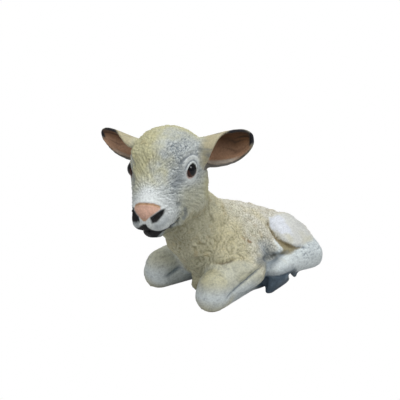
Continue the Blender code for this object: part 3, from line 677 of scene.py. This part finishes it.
UNDER_NOSTRIL = ((0.0150, -0.0820, -0.0560), (0.0205, -0.0785, -0.0535), (0.0245, -0.0740, -0.0500))
CREVICE_PAINT = ((0.1325, 0.0765), (0.1560, 0.0610), (0.1680, 0.0600), (0.1250, 0.0560))
STIFLE_PAINT = ((0.1270, 0.0720), (0.1325, 0.0755), (0.1250, 0.0560), (0.1195, 0.0560))
FLANK_AT = (0.0600, 0.1020, 0.0670)
FLANK_SPREAD = (0.020, 0.026, 0.017)
HOLLOW_AT = (0.0660, 0.1010, 0.0520)
HOLLOW_SPREAD = (0.020, 0.029, 0.0120)
ELBOW_SHADE_AT = (0.0745, 0.0775, 0.0605)
ELBOW_SHADE_SPREAD = (0.010, 0.011, 0.0080)
DEWCLAW_AT = (0.0781, 0.1500, 0.0172)
DEWCLAW_REACH = 0.0120
DEWCLAW_HAIR = ((0.0880, 0.1360, 0.0340), (0.0870, 0.1400, 0.0230))
SHADED_PATCHES = (
    (0.0285, -0.0300, 0.0335, 0.015, 0.70),
    (0.0330, -0.0200, 0.0370, 0.015, 0.75),
    (0.0318, -0.0370, 0.0210, 0.011, 0.75),
    (0.0323, -0.0416, 0.0013, 0.010, 0.8),
    (0.0277, -0.0546, -0.0155, 0.014, 0.9),
    (0.0180, -0.0450, 0.0155, 0.010, 0.3),
    (0.0150, -0.0500, 0.0000, 0.012, 0.5),
)
BRIGHT_LONG = 0.028
BRIGHT_BOTTOM = 0.078
BRIGHT_TOP = 0.106
ABOVE_HOOF = 0.0135
NOSE_FRONT = -0.062
WOOL_SPOTS = (
    ((0.0545, 0.0600, 0.0960), (0.0560, 0.0625, 0.0925)),
    ((0.0575, 0.0690, 0.0885), (0.0583, 0.0725, 0.0870)),
)
PATCH_SIZE = 0.030
FLECK_SIZE = 0.009
SPECKLE_SIZE = 0.0040
SHEEN_SIZE = 0.005
HOOF_MOTTLE = (0.008, 0.008, 0.005)
EAR_STREAK = (0.02, 0.005, 0.005)


def linear(colour):
    """A screen colour as light."""
    share = np.array(colour, float) / 255
    return np.where(share < 0.04045, share / 12.92, ((share + 0.055) / 1.055) ** 2.4)


def outlined(across, high, corners, soft):
    """1 inside a drawn outline, 0 outside it, with a soft edge."""
    inside = np.zeros(len(across), bool)
    gap = np.full(len(across), 9.0)
    for (ax, az), (bx, bz) in zip(corners, corners[1:] + corners[:1]):
        dx, dz = bx - ax, bz - az
        part = np.clip(((across - ax) * dx + (high - az) * dz) / (dx * dx + dz * dz), 0, 1)
        gap = np.minimum(gap, np.hypot(across - ax - part * dx, high - az - part * dz))
        if dz:
            inside ^= ((az > high) != (bz > high)) & (across < dx * (high - az) / dz + ax)
    return np.clip(0.5 + np.where(inside, gap, -gap) / soft, 0, 1)


paint = np.tile(linear(WOOL_CREAM), (len(skin.points), 1))
jaw_blend = smooth_step(-above + ragged, 0.034, 0.062) * smooth_step(behind + ragged, -0.046, -0.020)


def lay(colour, load):
    """Lays one colour over what is there, as thickly as the load says."""
    load = np.clip(load, 0, 1)[:, None]
    paint[:] = paint * (1 - load) + linear(colour) * load


def brushed(places, reach, place, sides=(1, -1), fade=0.0, edge=(0.1, 0.9)):
    """The paint's load in a line brushed along the places, its edge firm between the two shares."""
    return smooth_step(skin.mask(places, reach, place, sides, fade), *edge)


def blob(places, middle, spread):
    """How many spreads off a soft spot's middle each point is."""
    return np.linalg.norm((places - middle) / spread, axis=1)


patches = cloud(own / PATCH_SIZE, 61)
flecks = cloud(own / FLECK_SIZE, 62)
speckle = cloud(own / SPECKLE_SIZE, 63)
# Upward faces, where the wool is laid whiter as painted light.
painted_top_light = smooth_step(skin.normals[:, 2], -0.3, 0.8)
hollow = np.clip(fine_hollow, 0, 1)
proud = np.clip(-fine_hollow, 0, 1)
deep = np.clip(broad_hollow, 0, 1)

# The wool: whiter on top as painted light and whiter behind, olive at the throat, with ochre and brown
# flecks.
rear = smooth_step(back + 0.2 * up, 0.095, 0.150)
lay(WOOL_WHITE, trunk * np.clip(0.60 + 0.5 * patches, 0, 1) * painted_top_light)
lay(WOOL_WHITE, trunk * rear * 0.75)
lay(WOOL_YELLOW, wool * smooth_step(cloud(own / 0.035, 64), 0.0, 0.5) * 0.55)
# Olive at the throat, deepest up under the head: partly the wool's own olive, partly painted shade under
# the head.
throat = (0.4 + 0.6 * smooth_step(-back, -0.045, 0.000)) * (0.4 + 0.6 * smooth_step(up, 0.055, 0.105))
lay(WOOL_OLIVE, neck * (0.42 + 0.25 * patches) * throat)
lay(WOOL_OCHRE, wool * np.clip(flecks * 1.3 - 0.25, 0, 1) * 0.55)
brown_flecks = np.clip(flecks * 2.6 - 1.3, 0, 1) * np.clip(speckle + 0.4, 0, 1)
lay(BROWN_WASH, wool * brown_flecks * (0.9 - 0.7 * neck))
lay(BROWN_WASH, wool * np.clip(speckle * 1.5 - 0.25, 0, 1) * (0.30 - 0.18 * neck))
for places in CHEST_LOCKS:
    lay(WOOL_CREAM, brushed(places, 0.0030, body, sides=(1,), fade=0.2) * 0.25)
# Painted shadow of the head's back edge, laid along the carved neck crease.
lay(OLIVE_WASH_AND_SHADE, brushed(NECK_CREASE, 0.0034, body, sides=(1,)) * 0.45)
for spot in WOOL_SPOTS:
    lay(SPOT_BROWN, brushed(spot, 0.0036, body, sides=(1,), edge=(0.1, 0.6)) * 0.95)
shoulder = smooth_step(left, 0.025, 0.040) * smooth_step(0.075 - back, 0.0, 0.020)
lay(WOOL_YELLOW, wool * shoulder * smooth_step(back, 0.010, 0.030) * 0.65)
lay(OLIVE_WASH_AND_SHADE, wool * (0.50 * hollow + (0.40 - 0.15 * neck) * deep))
lay(WOOL_WHITE, wool * proud * (0.35 - 0.20 * neck))

# The haunches and legs: white, cream on the forelegs, with a blue-grey wash in their hollows.
lay(HAUNCH_WHITE, haunch * 0.95)
lay(LEG_CREAM, haunch * smooth_step(cloud(own / 0.020, 65), 0.0, 0.6) * 0.45)
bright = smooth_step(back - haunch_edge, 0.000, 0.002)
bright *= smooth_step(haunch_edge + BRIGHT_LONG - back + ragged, 0.0, 0.006)
bright *= smooth_step(up + ragged - BRIGHT_BOTTOM, 0.0, 0.006)
bright *= smooth_step(BRIGHT_TOP - up + ragged, 0.0, 0.003)
lay(HAUNCH_BLUE, haunch * bright * 0.9)
lay(LEG_WHITE, legs * 0.95)
foreleg = back < HOOF_FRONT
cream_legs = smooth_step(up, 0.026, 0.052) * foreleg
lay(LEG_CREAM, legs * cream_legs * (0.85 + 0.4 * patches))
lay(LEG_WASH, (legs + 0.4 * haunch) * (0.25 * hollow + 0.40 * deep))
lay(LEG_WASH, legs * (1 - smooth_step(up, 0.000, 0.012)) * 0.06)
forearm = smooth_step(back, 0.015, 0.040) * smooth_step(up, 0.035, 0.055) * foreleg
lay(WOOL_OLIVE, legs * forearm * 0.30)
# Whiter on the right legs: partly their own bluish white, partly painted light where they lie in shade.
lay(LEG_WHITE, legs * (left < 0) * 0.25)
lay(LEG_WASH, legs * np.clip(-hair, 0, 1) * 0.35)
lay(WOOL_OLIVE, legs * cream_legs * np.clip(-hair - 0.05, 0, 1) * 0.6)
above_hoof = smooth_step(hoof_edge + ABOVE_HOOF - up, 0.0, 0.012) * (flank > HOOF_INNER)
lay(LEG_WASH, legs * above_hoof * (back > 0.085) * (back < HOOF_BACK) * 0.45)
before_hoof = smooth_step(0.0925 - back, 0, 0.003) * (back > 0.083) * (flank > 0.062)
lay(LEG_WASH, legs * before_hoof * 0.6)

# The face: cream on its right side and its cheeks, white down the nose, and on the left grey-blue strokes:
# painted shadow in the gaps between the wisps, with a wash in their hollows, laid over patches of painted
# shade, and painted highlights on the wisps' ridges.
lay(FACE_WHITE, face)
creamy = 1 - smooth_step(sideways + 0.020 * cloud(local / 0.022, 71) + 0.010 * flecks, -0.010, 0.036)
creamy = np.maximum(creamy, smooth_step(behind + 0.6 * above + ragged, 0.020, 0.050))
upward = smooth_step(above + 0.008 * patches, -0.030, 0.010)
warm = face * np.clip(creamy * upward, 0, 1)
cheek_back = face * smooth_step(behind, -0.022, 0.015) * smooth_step(-above, -0.005, 0.030)
cheek = face * smooth_step(behind, -0.060, -0.030) * smooth_step(-above, 0.005, 0.030)
warm = np.maximum(warm, np.maximum(cheek_back, 0.55 * cheek))
lay(FACE_CREAM, warm * 0.95)
lay(WOOL_OCHRE, warm * np.clip(flecks * 1.4 - 0.3, 0, 1) * 0.30)
# Patches of painted shade, uneven at random and heaviest at the listed patches.
shadows = 0.45 * smooth_step(cloud(drift(local / 0.020, 75, 0.4), 72), -0.15, 0.65)
for x, y, z, spread, load in SHADED_PATCHES:
    away = blob(local, (x, y, z), spread)
    shadows = np.maximum(shadows, load * smooth_step(1.3 - away + 0.4 * flecks, 0.0, 0.9))
# The marks are painted shadow in the gaps between the wisps and tufts, and the glints are painted
# highlights on their ridges.
fine_marks = cloud(drift(wisp_places * 1.6, 15, 0.6), 25)
marks = smooth_step(-0.5 * wisps - 0.6 * fine_wisps - 0.7 * fine_marks, 0.05, 0.55)
marks = np.maximum(marks * (1 - 0.5 * brow), brow * smooth_step(-brow_tufts, 0.05, 0.40))
glints = smooth_step(0.3 * wisps + 0.9 * fine_marks, 0.15, 0.60)
strokes = face * (1 - bare) * (0.30 * hollow + 0.80 * marks * (0.34 + 0.66 * shadows)) * (1 - 0.6 * warm)
lay(WOOL_OLIVE, face * crown * 0.10)
lay(GREY_WASH_AND_SHADE, strokes * (1 - 0.8 * warm))
lay(OLIVE_WASH_AND_SHADE, strokes * warm * 0.8)
lay(GREY_WASH_AND_SHADE, face * (1 - bare) * (0.05 + 0.20 * shadows) * (1 - 0.7 * creamy) * (1 - 0.6 * warm))
lay(BLAZE_WHITE, face * (1 - bare) * glints * (1 - 0.8 * warm) * (0.15 + 0.25 * shadows))
# Below the jaw the face blends into the neck's olive, partly as painted shade under the head.
lay(OLIVE_WASH_AND_SHADE, jaw_blend * face * 0.55)
lay(OLIVE_WASH_AND_SHADE, jaw_blend * face * hollow * 0.4)
blaze = np.exp(-(((sideways - 0.001) / 0.015) ** 2) - ((above + 0.018) / 0.012) ** 2) * face
lay(BLAZE_WHITE, blaze * 1.3)
lay(BLAZE_WHITE, muzzle * 0.5)
lay(BLAZE_WHITE, lids * 0.40)
# Painted shadow of the brow in the tear hollow before the eye.
lay(SOCKET_GREY, skin.mask(TEAR_HOLLOW, 0.012, head) * 0.45)
lay(GREY_WASH_AND_SHADE, skin.mask(TEAR_HOLLOW, 0.007, head) * 0.25)
lay(SOCKET_GREY, lids * deep * 0.9)
lay(SOCKET_GREY, lids * hollow * 0.6)
lay(GREY_WASH_AND_SHADE, lids * smooth_step(-behind, 0.027, 0.036) * 0.28)
lay(SOCKET_GREY, folds)
lay(GREY_WASH_AND_SHADE, muzzle * (0.25 * hollow + 0.15 * deep))
lay(BLAZE_WHITE, skin.mask(MUZZLE_SIDE, 0.0200, head) * 0.7)
# Painted shadow under the nostril.
lay(GREY_WASH_AND_SHADE, skin.mask(UNDER_NOSTRIL, 0.0085, head) * 0.55)
lay(GREY_WASH_AND_SHADE, brushed(CHEEK_WRINKLE, 0.0040, head, fade=0.3, edge=(0.05, 0.8)) * 0.5)
lay(GREY_WASH_AND_SHADE, brushed(MOUTH_WRINKLE, 0.0055, head, edge=(0.05, 0.8)) * 0.6)
lay(GREY_WASH_AND_SHADE, face * smooth_step(-above, 0.058, 0.070) * smooth_step(-behind, 0.030, 0.050) * 0.55)

# The nose, nostrils, lips and chin.
width = abs(sideways)
on_nose = behind < NOSE_FRONT
pad = outlined(width, above, NOSE_PAD, 0.0012) * on_nose
lay(NOSE_PINK, pad)
lay(NOSE_OCHRE, skin.mask(NOSE_TOP, 0.0026, head) * 0.6)
lay(NOSE_OCHRE, pad * smooth_step(-above, 0.0440, 0.0480) * 0.6)
nostrils = outlined(width, above, NOSTRIL_PAINT, 0.0020) * on_nose
lay(LIP_BLACK, nostrils)
# A painted sheen on the black nostrils.
lay(HOOF_SLATE, nostrils * smooth_step(cloud(local / SHEEN_SIZE, 91), 0.0, 0.6) * 0.5)
far_side = smooth_step(-sideways, 0.012, 0.015) * smooth_step(-above, 0.037, 0.040) * on_nose
lay(LIP_BLACK, far_side * smooth_step(above, -0.056, -0.052))
lay(LIP_BLACK, outlined(sideways, above, CHIN_PAINT, 0.0018) * (behind < -0.040))
# Painted shade under the jaw, in the neck's olive.
under_jaw = smooth_step(-above - 0.12 * (behind + 0.05), 0.0665, 0.0715)
under_jaw *= smooth_step(behind, -0.068, -0.056)
lay(WOOL_OLIVE, face * under_jaw * 0.85)
lay(LIP_BLACK, brushed(LIPS[:3], 0.0034, head, edge=(0.1, 0.6)))
lay(GREY_WASH_AND_SHADE, brushed(LIPS[2:], 0.0030, head, edge=(0.1, 0.6)) * 0.7)
lay(LIP_BLACK, brushed(LOWER_LIP, 0.0036, head, fade=0.4, edge=(0.1, 0.7)))
lay(LIP_BLACK, brushed(MOUTH_CORNER, 0.0032, head, edge=(0.15, 0.7)) * 0.75)
lay(LID_PINK, lid_edge * 0.85)

# The ears: cream backs, brown bowls with dark folds, and dark rims.
lay(EAR_CREAM, ear * 0.9)
lay(GREY_WASH_AND_SHADE, ear * (1 - bowl) * smooth_step(ear_along, 0.5, 1.0) * 0.45)
lay(GREY_WASH_AND_SHADE, ear * (1 - bowl) * np.clip(cloud(local / EAR_STREAK, 82) - 0.2, 0, 1) * 0.9)
lay(GREY_WASH_AND_SHADE, skin.mask(EAR_FOLD, 0.0110, head) * (0.35 + 0.4 * flecks))
far_ear = (sideways < 0) * 1.0
lay(EAR_BROWN, bowl)
lay(EAR_PINK, bowl * smooth_step(-ear_across, -0.25, 0.60) * 0.70)
# Painted light: the far ear's bowl is laid lighter, with more pink here and less dark brown in its folds
# and deep part below.
lay(EAR_PINK, bowl * far_ear * (0.35 + 0.5 * smooth_step(-ear_across, -0.2, 0.5)))
leaf_places = np.stack([ear_along * 2.4 + ear_across * 0.8, ear_across * 4.5, far_ear * 5.3], axis=1)
ear_folds = smooth_step(cloud(drift(leaf_places, 83, 0.35), 81), 0.0, 0.6)
lay(EAR_BROWN_DARK, bowl * ear_folds * smooth_step(ear_across, -0.75, 0.0) * (0.95 - 0.3 * far_ear))
lay(EAR_BROWN_DARK, bowl * smooth_step(ear_across, -0.2, 0.7) * 0.45)
ear_depth = np.exp(-(((ear_along - 0.50) / 0.20) ** 2) - ((ear_across - 0.15) / 0.40) ** 2)
lay(EAR_BROWN_DARK, bowl * ear_depth * (0.6 - 0.4 * far_ear))
lay(EAR_DARK, bowl * smooth_step(ear_across, 0.3, 0.95) * smooth_step(ear_along, 0.55, 0.95) * 0.6)
outer_rim = rim * smooth_step(ear_across + 2.2 * (ear_along - 0.62), -0.2, 0.2)
lay(EAR_DARK, outer_rim * smooth_step(ear_along, 0.44, 0.62))
lining = smooth_step(-ear_across, 0.66, 0.78) * (1 - smooth_step(ear_along, 0.62, 0.82))
lay(EAR_LINING, np.maximum(bowl, rim) * lining * (0.85 - 0.3 * far_ear))
lay(EAR_DARK, rim * smooth_step(-ear_across, 0.89, 0.95) * smooth_step(ear_along, 0.15, 0.25) * 0.75)

# The creases, the crevice before the haunch, painted shade in the hollow below the flank and behind the
# elbow, and the hooves.
lay(LEG_WASH, brushed(FORELEG_GROOVE, 0.0026, body, fade=0.3) * 0.45)
lay(BROWN_WASH, brushed(ELBOW_CREASE, 0.0024, body, fade=0.4, edge=(0.2, 0.9)) * 0.6)
lay(LEG_WASH, brushed(INNER_GROOVE, 0.0050, body) * 0.6)
edge_strip = np.clip(1.3 - abs(back - haunch_edge + 0.0030) / 0.0042, 0, 1) * (1 - haunch)
edge_strip *= smooth_step(flank, 0.030, 0.038) * smooth_step(up, 0.066, 0.072)
lay(BROWN_WASH, edge_strip * (0.35 + 0.40 * smooth_step(0.100 - up, 0.0, 0.012)) * (0.8 + 0.6 * speckle))
crevice = outlined(back, up, CREVICE_PAINT, 0.0016) * smooth_step(flank, 0.045, 0.050)
lay(CREVICE_OLIVE, crevice * 0.95)
lay(BROWN_WASH, crevice * smooth_step(up + 0.45 * back, 0.124, 0.132) * 0.5)
blue_wool = np.clip(1.1 - blob(own, FLANK_AT, FLANK_SPREAD), 0, 1) * (left > 0) * (1 - legs)
lay(FACE_WHITE, blue_wool * 0.8)
lay(LEG_WASH, blue_wool * (0.30 + 0.6 * hollow + 0.3 * np.clip(-curl, 0, 1)))
lay(LEG_WHITE, outlined(back, up, STIFLE_PAINT, 0.0024) * smooth_step(flank, 0.045, 0.050) * 0.9)
# Painted shade under the flank and behind the elbow.
under_flank_shade = smooth_step(1.25 - blob(own, HOLLOW_AT, HOLLOW_SPREAD), 0.0, 0.6)
lay(SHADE_BLUE, under_flank_shade * (left > 0) * 0.6)
behind_elbow = smooth_step(1.25 - blob(own, ELBOW_SHADE_AT, ELBOW_SHADE_SPREAD), 0.0, 0.9)
lay(SHADE_BLUE, behind_elbow * 0.55)
lay(LEG_WASH, brushed(SHANK_TOP, 0.0050, body) * 0.35)
lay(HOOF_SLATE, hooves)
hoof_light = smooth_step(cloud(own / HOOF_MOTTLE, 92), 0.0, 0.7)
lay(HOOF_BLUE, hooves * hoof_light * 0.7)
dewclaw = blob(np.stack([flank, back, up], axis=1), DEWCLAW_AT, DEWCLAW_REACH)
lay(HOOF_SLATE, smooth_step(1 - dewclaw, 0.0, 1 / 3) * 0.9)
lay(HOOF_SLATE, brushed(DEWCLAW_HAIR, 0.0060, body, edge=(0.1, 0.7)) * 0.75)
lay(LIP_BLACK, eyes)

stain = lamb.data.attributes.new("paint", "FLOAT_COLOR", "POINT")
stain.data.foreach_set("color", np.concatenate([paint, np.ones((len(paint), 1))], axis=1).ravel())
grain = lamb.data.attributes.new("curliness", "FLOAT", "POINT")
grain.data.foreach_set("value", np.clip(trunk + neck + 0.5 * face * (1 - bare) + 0.2 * haunch, 0, 1))
wet = lamb.data.attributes.new("gloss", "FLOAT", "POINT")
wet.data.foreach_set("value", np.clip(pad * 0.6 + hooves * 0.7 + eyes, 0, 1))

# The painted resin itself: the laid paint, mottled a little, matte but for the nose, eyes and hooves. The
# skin's grain is thinned last, and least on the head.
GLEAM = 0.35
MOTTLE_PER_METRE = 420
MOTTLE_BAND = (0.3, 0.7)
MOTTLE_SHADES = (0.82, 1.12)
MOTTLE_RELIEF = 0.35
CURLS_PER_METRE = 330
CURL_ROUNDING = 0.6
RELIEF_STRENGTH = 0.6
RELIEF_DEPTH = 0.0006
MATTE = 0.62
GLOSSY = 0.30
FACE_THINNED = 0.25
SKIN_TRIANGLES = 192000
resin = bpy.data.materials.new("painted_resin")
resin.use_nodes = True
nodes, links = resin.node_tree.nodes, resin.node_tree.links
surface = nodes["Principled BSDF"]
surface.inputs["Specular IOR Level"].default_value = GLEAM


def add(kind, **values):
    """Adds a node to the material at hand, with its settings."""
    node = nodes.new(kind)
    for name, value in values.items():
        setattr(node, name, value)
    return node


place = add("ShaderNodeTexCoord")
coat = add("ShaderNodeAttribute", attribute_name="paint")
curliness = add("ShaderNodeAttribute", attribute_name="curliness")
gloss = add("ShaderNodeAttribute", attribute_name="gloss")
mottle = add("ShaderNodeTexNoise")
mottle.inputs["Scale"].default_value = MOTTLE_PER_METRE
mottle.inputs["Detail"].default_value = 4
shade = add("ShaderNodeMapRange")
shade.inputs["From Min"].default_value, shade.inputs["From Max"].default_value = MOTTLE_BAND
shade.inputs["To Min"].default_value, shade.inputs["To Max"].default_value = MOTTLE_SHADES
tint = add("ShaderNodeMix", data_type="RGBA", blend_type="MULTIPLY")
tint.inputs["Factor"].default_value = 1.0
links.new(place.outputs["Object"], mottle.inputs["Vector"])
links.new(mottle.outputs["Fac"], shade.inputs["Value"])
links.new(coat.outputs["Color"], tint.inputs["A"])
links.new(shade.outputs["Result"], tint.inputs["B"])
links.new(tint.outputs["Result"], surface.inputs["Base Color"])
curls = add("ShaderNodeTexVoronoi", feature="SMOOTH_F1")
curls.inputs["Scale"].default_value = CURLS_PER_METRE
curls.inputs["Smoothness"].default_value = CURL_ROUNDING
links.new(place.outputs["Object"], curls.inputs["Vector"])
fleece = add("ShaderNodeMath", operation="MULTIPLY")
links.new(curls.outputs["Distance"], fleece.inputs[0])
links.new(curliness.outputs["Fac"], fleece.inputs[1])
rough_skin = add("ShaderNodeMath", operation="MULTIPLY_ADD")
rough_skin.inputs[1].default_value = MOTTLE_RELIEF
links.new(mottle.outputs["Fac"], rough_skin.inputs[0])
links.new(fleece.outputs["Value"], rough_skin.inputs[2])
relief = add("ShaderNodeBump")
relief.inputs["Strength"].default_value = RELIEF_STRENGTH
relief.inputs["Distance"].default_value = RELIEF_DEPTH
links.new(rough_skin.outputs["Value"], relief.inputs["Height"])
links.new(relief.outputs["Normal"], surface.inputs["Normal"])
sheen = add("ShaderNodeMapRange")
sheen.inputs["To Min"].default_value = MATTE
sheen.inputs["To Max"].default_value = GLOSSY
links.new(gloss.outputs["Fac"], sheen.inputs["Value"])
links.new(sheen.outputs["Result"], surface.inputs["Roughness"])
lamb.data.materials.clear()
lamb.data.materials.append(resin)
for polygon in lamb.data.polygons:
    polygon.use_smooth = True
coarse = lamb.vertex_groups.new(name="coarse")
for load, chosen in ((FACE_THINNED, face + ear > 0.5), (1.0, face + ear <= 0.5)):
    coarse.add(np.flatnonzero(chosen).tolist(), load, "REPLACE")
thin = lamb.modifiers.new("thin", "DECIMATE")
thin.vertex_group = "coarse"
thin.ratio = min(1.0, SKIN_TRIANGLES / sum(len(polygon.vertices) - 2 for polygon in lamb.data.polygons))
fresh_skin(lamb)
lamb.vertex_groups.clear()
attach(lamb, "root")
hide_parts("lamb_statue")

# The eyes: the balls of the casting, painted with a black pupil and a red-brown iris and then varnished.
# The varnish is a thin cap of its own over each ball, inside the lids.
VARNISH = 0.0003
VARNISH_ROUGHNESS = 0.10
VARNISH_GLEAM = 0.38
CAP_SHARE = 0.50
PUPIL_BLACK = (0.002, 0.002, 0.004, 1)
EDGE_BLACK = (0.006, 0.004, 0.004, 1)
IRIS_STOPS = ((0.45, PUPIL_BLACK), (0.62, (0.055, 0.016, 0.009, 1)), (0.85, (0.045, 0.013, 0.008, 1)))
EYE_LOOKS = Vector((0, -1, -0.6))
eye_paint = bpy.data.materials.new("varnished_eye")
eye_paint.use_nodes = True
nodes, links = eye_paint.node_tree.nodes, eye_paint.node_tree.links
surface = nodes["Principled BSDF"]
surface.inputs["Roughness"].default_value = VARNISH_ROUGHNESS
surface.inputs["Specular IOR Level"].default_value = VARNISH_GLEAM
outward = add("ShaderNodeAttribute", attribute_name="outward")
iris = add("ShaderNodeValToRGB")
stops = iris.color_ramp.elements
stops[0].position, stops[0].color = 0.0, PUPIL_BLACK
stops[1].position, stops[1].color = 1.0, EDGE_BLACK
for at, colour in IRIS_STOPS:
    stop = stops.new(at)
    stop.color = colour
links.new(outward.outputs["Fac"], iris.inputs["Fac"])
links.new(iris.outputs["Color"], surface.inputs["Base Color"])

for side, name in ((1, "left_eye"), (-1, "right_eye")):
    middle, axis, *_ = eye_axes(side)
    ball = bmesh.new()
    bmesh.ops.create_icosphere(ball, subdivisions=5, radius=EYE_RADIUS + VARNISH)
    bmesh.ops.translate(ball, verts=ball.verts, vec=Vector(middle))
    base = Vector(middle) + Vector(axis) * EYE_RADIUS * CAP_SHARE
    whole = ball.verts[:] + ball.edges[:] + ball.faces[:]
    inward = -Vector(axis)
    bmesh.ops.bisect_plane(ball, geom=whole, dist=1e-6, plane_co=base, plane_no=inward, clear_outer=True)
    bmesh.ops.holes_fill(ball, edges=[e for e in ball.edges if e.is_boundary], sides=0)
    eye_mesh = bpy.data.meshes.new(name)
    ball.to_mesh(eye_mesh)
    ball.free()
    cap = np.array([v.co for v in eye_mesh.vertices])
    ring, _, _, offset = round_eye(cap, side)
    forward = offset @ np.array(head.to_3x3() @ EYE_LOOKS.normalized()) / EYE_RADIUS
    outward_values = eye_mesh.attributes.new("outward", "FLOAT", "POINT")
    outward_values.data.foreach_set("value", np.clip(ring, 0, 1) * smooth_step(forward, 0.45, 0.85))
    for polygon in eye_mesh.polygons:
        polygon.use_smooth = True
    eye_mesh.materials.append(eye_paint)
    eye = bpy.data.objects.new(name, eye_mesh)
    bpy.context.scene.collection.objects.link(eye)
    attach(eye, "root")
    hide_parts("lamb_statue")

# The studio: a pale floor that reads as plain white paper, soft light from above and a little to the left,
# and the camera at the photograph's angle.
FLOOR_SIZE = 8
FLOOR_GAP = 0.0002
PAPER_GREY = (0.5, 0.5, 0.5, 1)
AIR_STRENGTH = 0.30
AIM_HEIGHT = 0.12
bpy.ops.mesh.primitive_plane_add(size=FLOOR_SIZE, location=(0, 0, -FLOOR_GAP))
floor = bpy.context.object
floor.name = "floor"
paper = bpy.data.materials.new("white_paper")
paper.use_nodes = True
nodes, links = paper.node_tree.nodes, paper.node_tree.links
surface = nodes["Principled BSDF"]
surface.inputs["Base Color"].default_value = PAPER_GREY
surface.inputs["Roughness"].default_value = 0.9
glow = add("ShaderNodeEmission")
seen = add("ShaderNodeLightPath")
either = add("ShaderNodeMixShader")
links.new(seen.outputs["Is Camera Ray"], either.inputs["Fac"])
links.new(surface.outputs["BSDF"], either.inputs[1])
links.new(glow.outputs["Emission"], either.inputs[2])
links.new(either.outputs["Shader"], nodes["Material Output"].inputs["Surface"])
floor.data.materials.append(paper)

world = bpy.data.worlds.new("studio")
bpy.context.scene.world = world
world.use_nodes = True
nodes, links = world.node_tree.nodes, world.node_tree.links
air = nodes["Background"]
air.inputs["Color"].default_value = (1, 1, 1, 1)
air.inputs["Strength"].default_value = AIR_STRENGTH
white = add("ShaderNodeBackground")
white.inputs["Color"].default_value = (1, 1, 1, 1)
seen = add("ShaderNodeLightPath")
either = add("ShaderNodeMixShader")
links.new(seen.outputs["Is Camera Ray"], either.inputs["Fac"])
links.new(air.outputs["Background"], either.inputs[1])
links.new(white.outputs["Background"], either.inputs[2])
links.new(either.outputs["Shader"], nodes["World Output"].inputs["Surface"])


def soft_box(name, place, size, power):
    """A square lamp of a size in metres and a power in watts, turned to the lamb."""
    lamp = bpy.data.lights.new(name, "AREA")
    lamp.size = size
    lamp.energy = power
    box = bpy.data.objects.new(name, lamp)
    bpy.context.scene.collection.objects.link(box)
    box.location = place
    box.rotation_euler = (Vector((0, 0, AIM_HEIGHT)) - Vector(place)).to_track_quat("-Z", "Y").to_euler()


soft_box("top", (0.2, 0.1, 3.2), 2.2, 56)
soft_box("side", (2.2, 0.5, 2.0), 0.9, 18)
soft_box("front", (0.9, -2.6, 1.5), 1.6, 13)

SENSOR = 36
LENS = 715 / 400 * SENSOR
CAMERA_AT = Vector((0.755, -0.607, 0.486))
CAMERA_TURN = 50
CAMERA_DOWN = 19
lens = bpy.data.cameras.new("camera")
lens.lens = LENS
lens.sensor_width = SENSOR
lens.clip_start = 0.01
camera = bpy.data.objects.new("camera", lens)
bpy.context.scene.collection.objects.link(camera)
camera.location = CAMERA_AT + SETTLED
camera.rotation_euler = (math.radians(90 - CAMERA_DOWN), 0, math.radians(CAMERA_TURN))
bpy.context.scene.camera = camera
bpy.context.scene.view_settings.view_transform = "Standard"
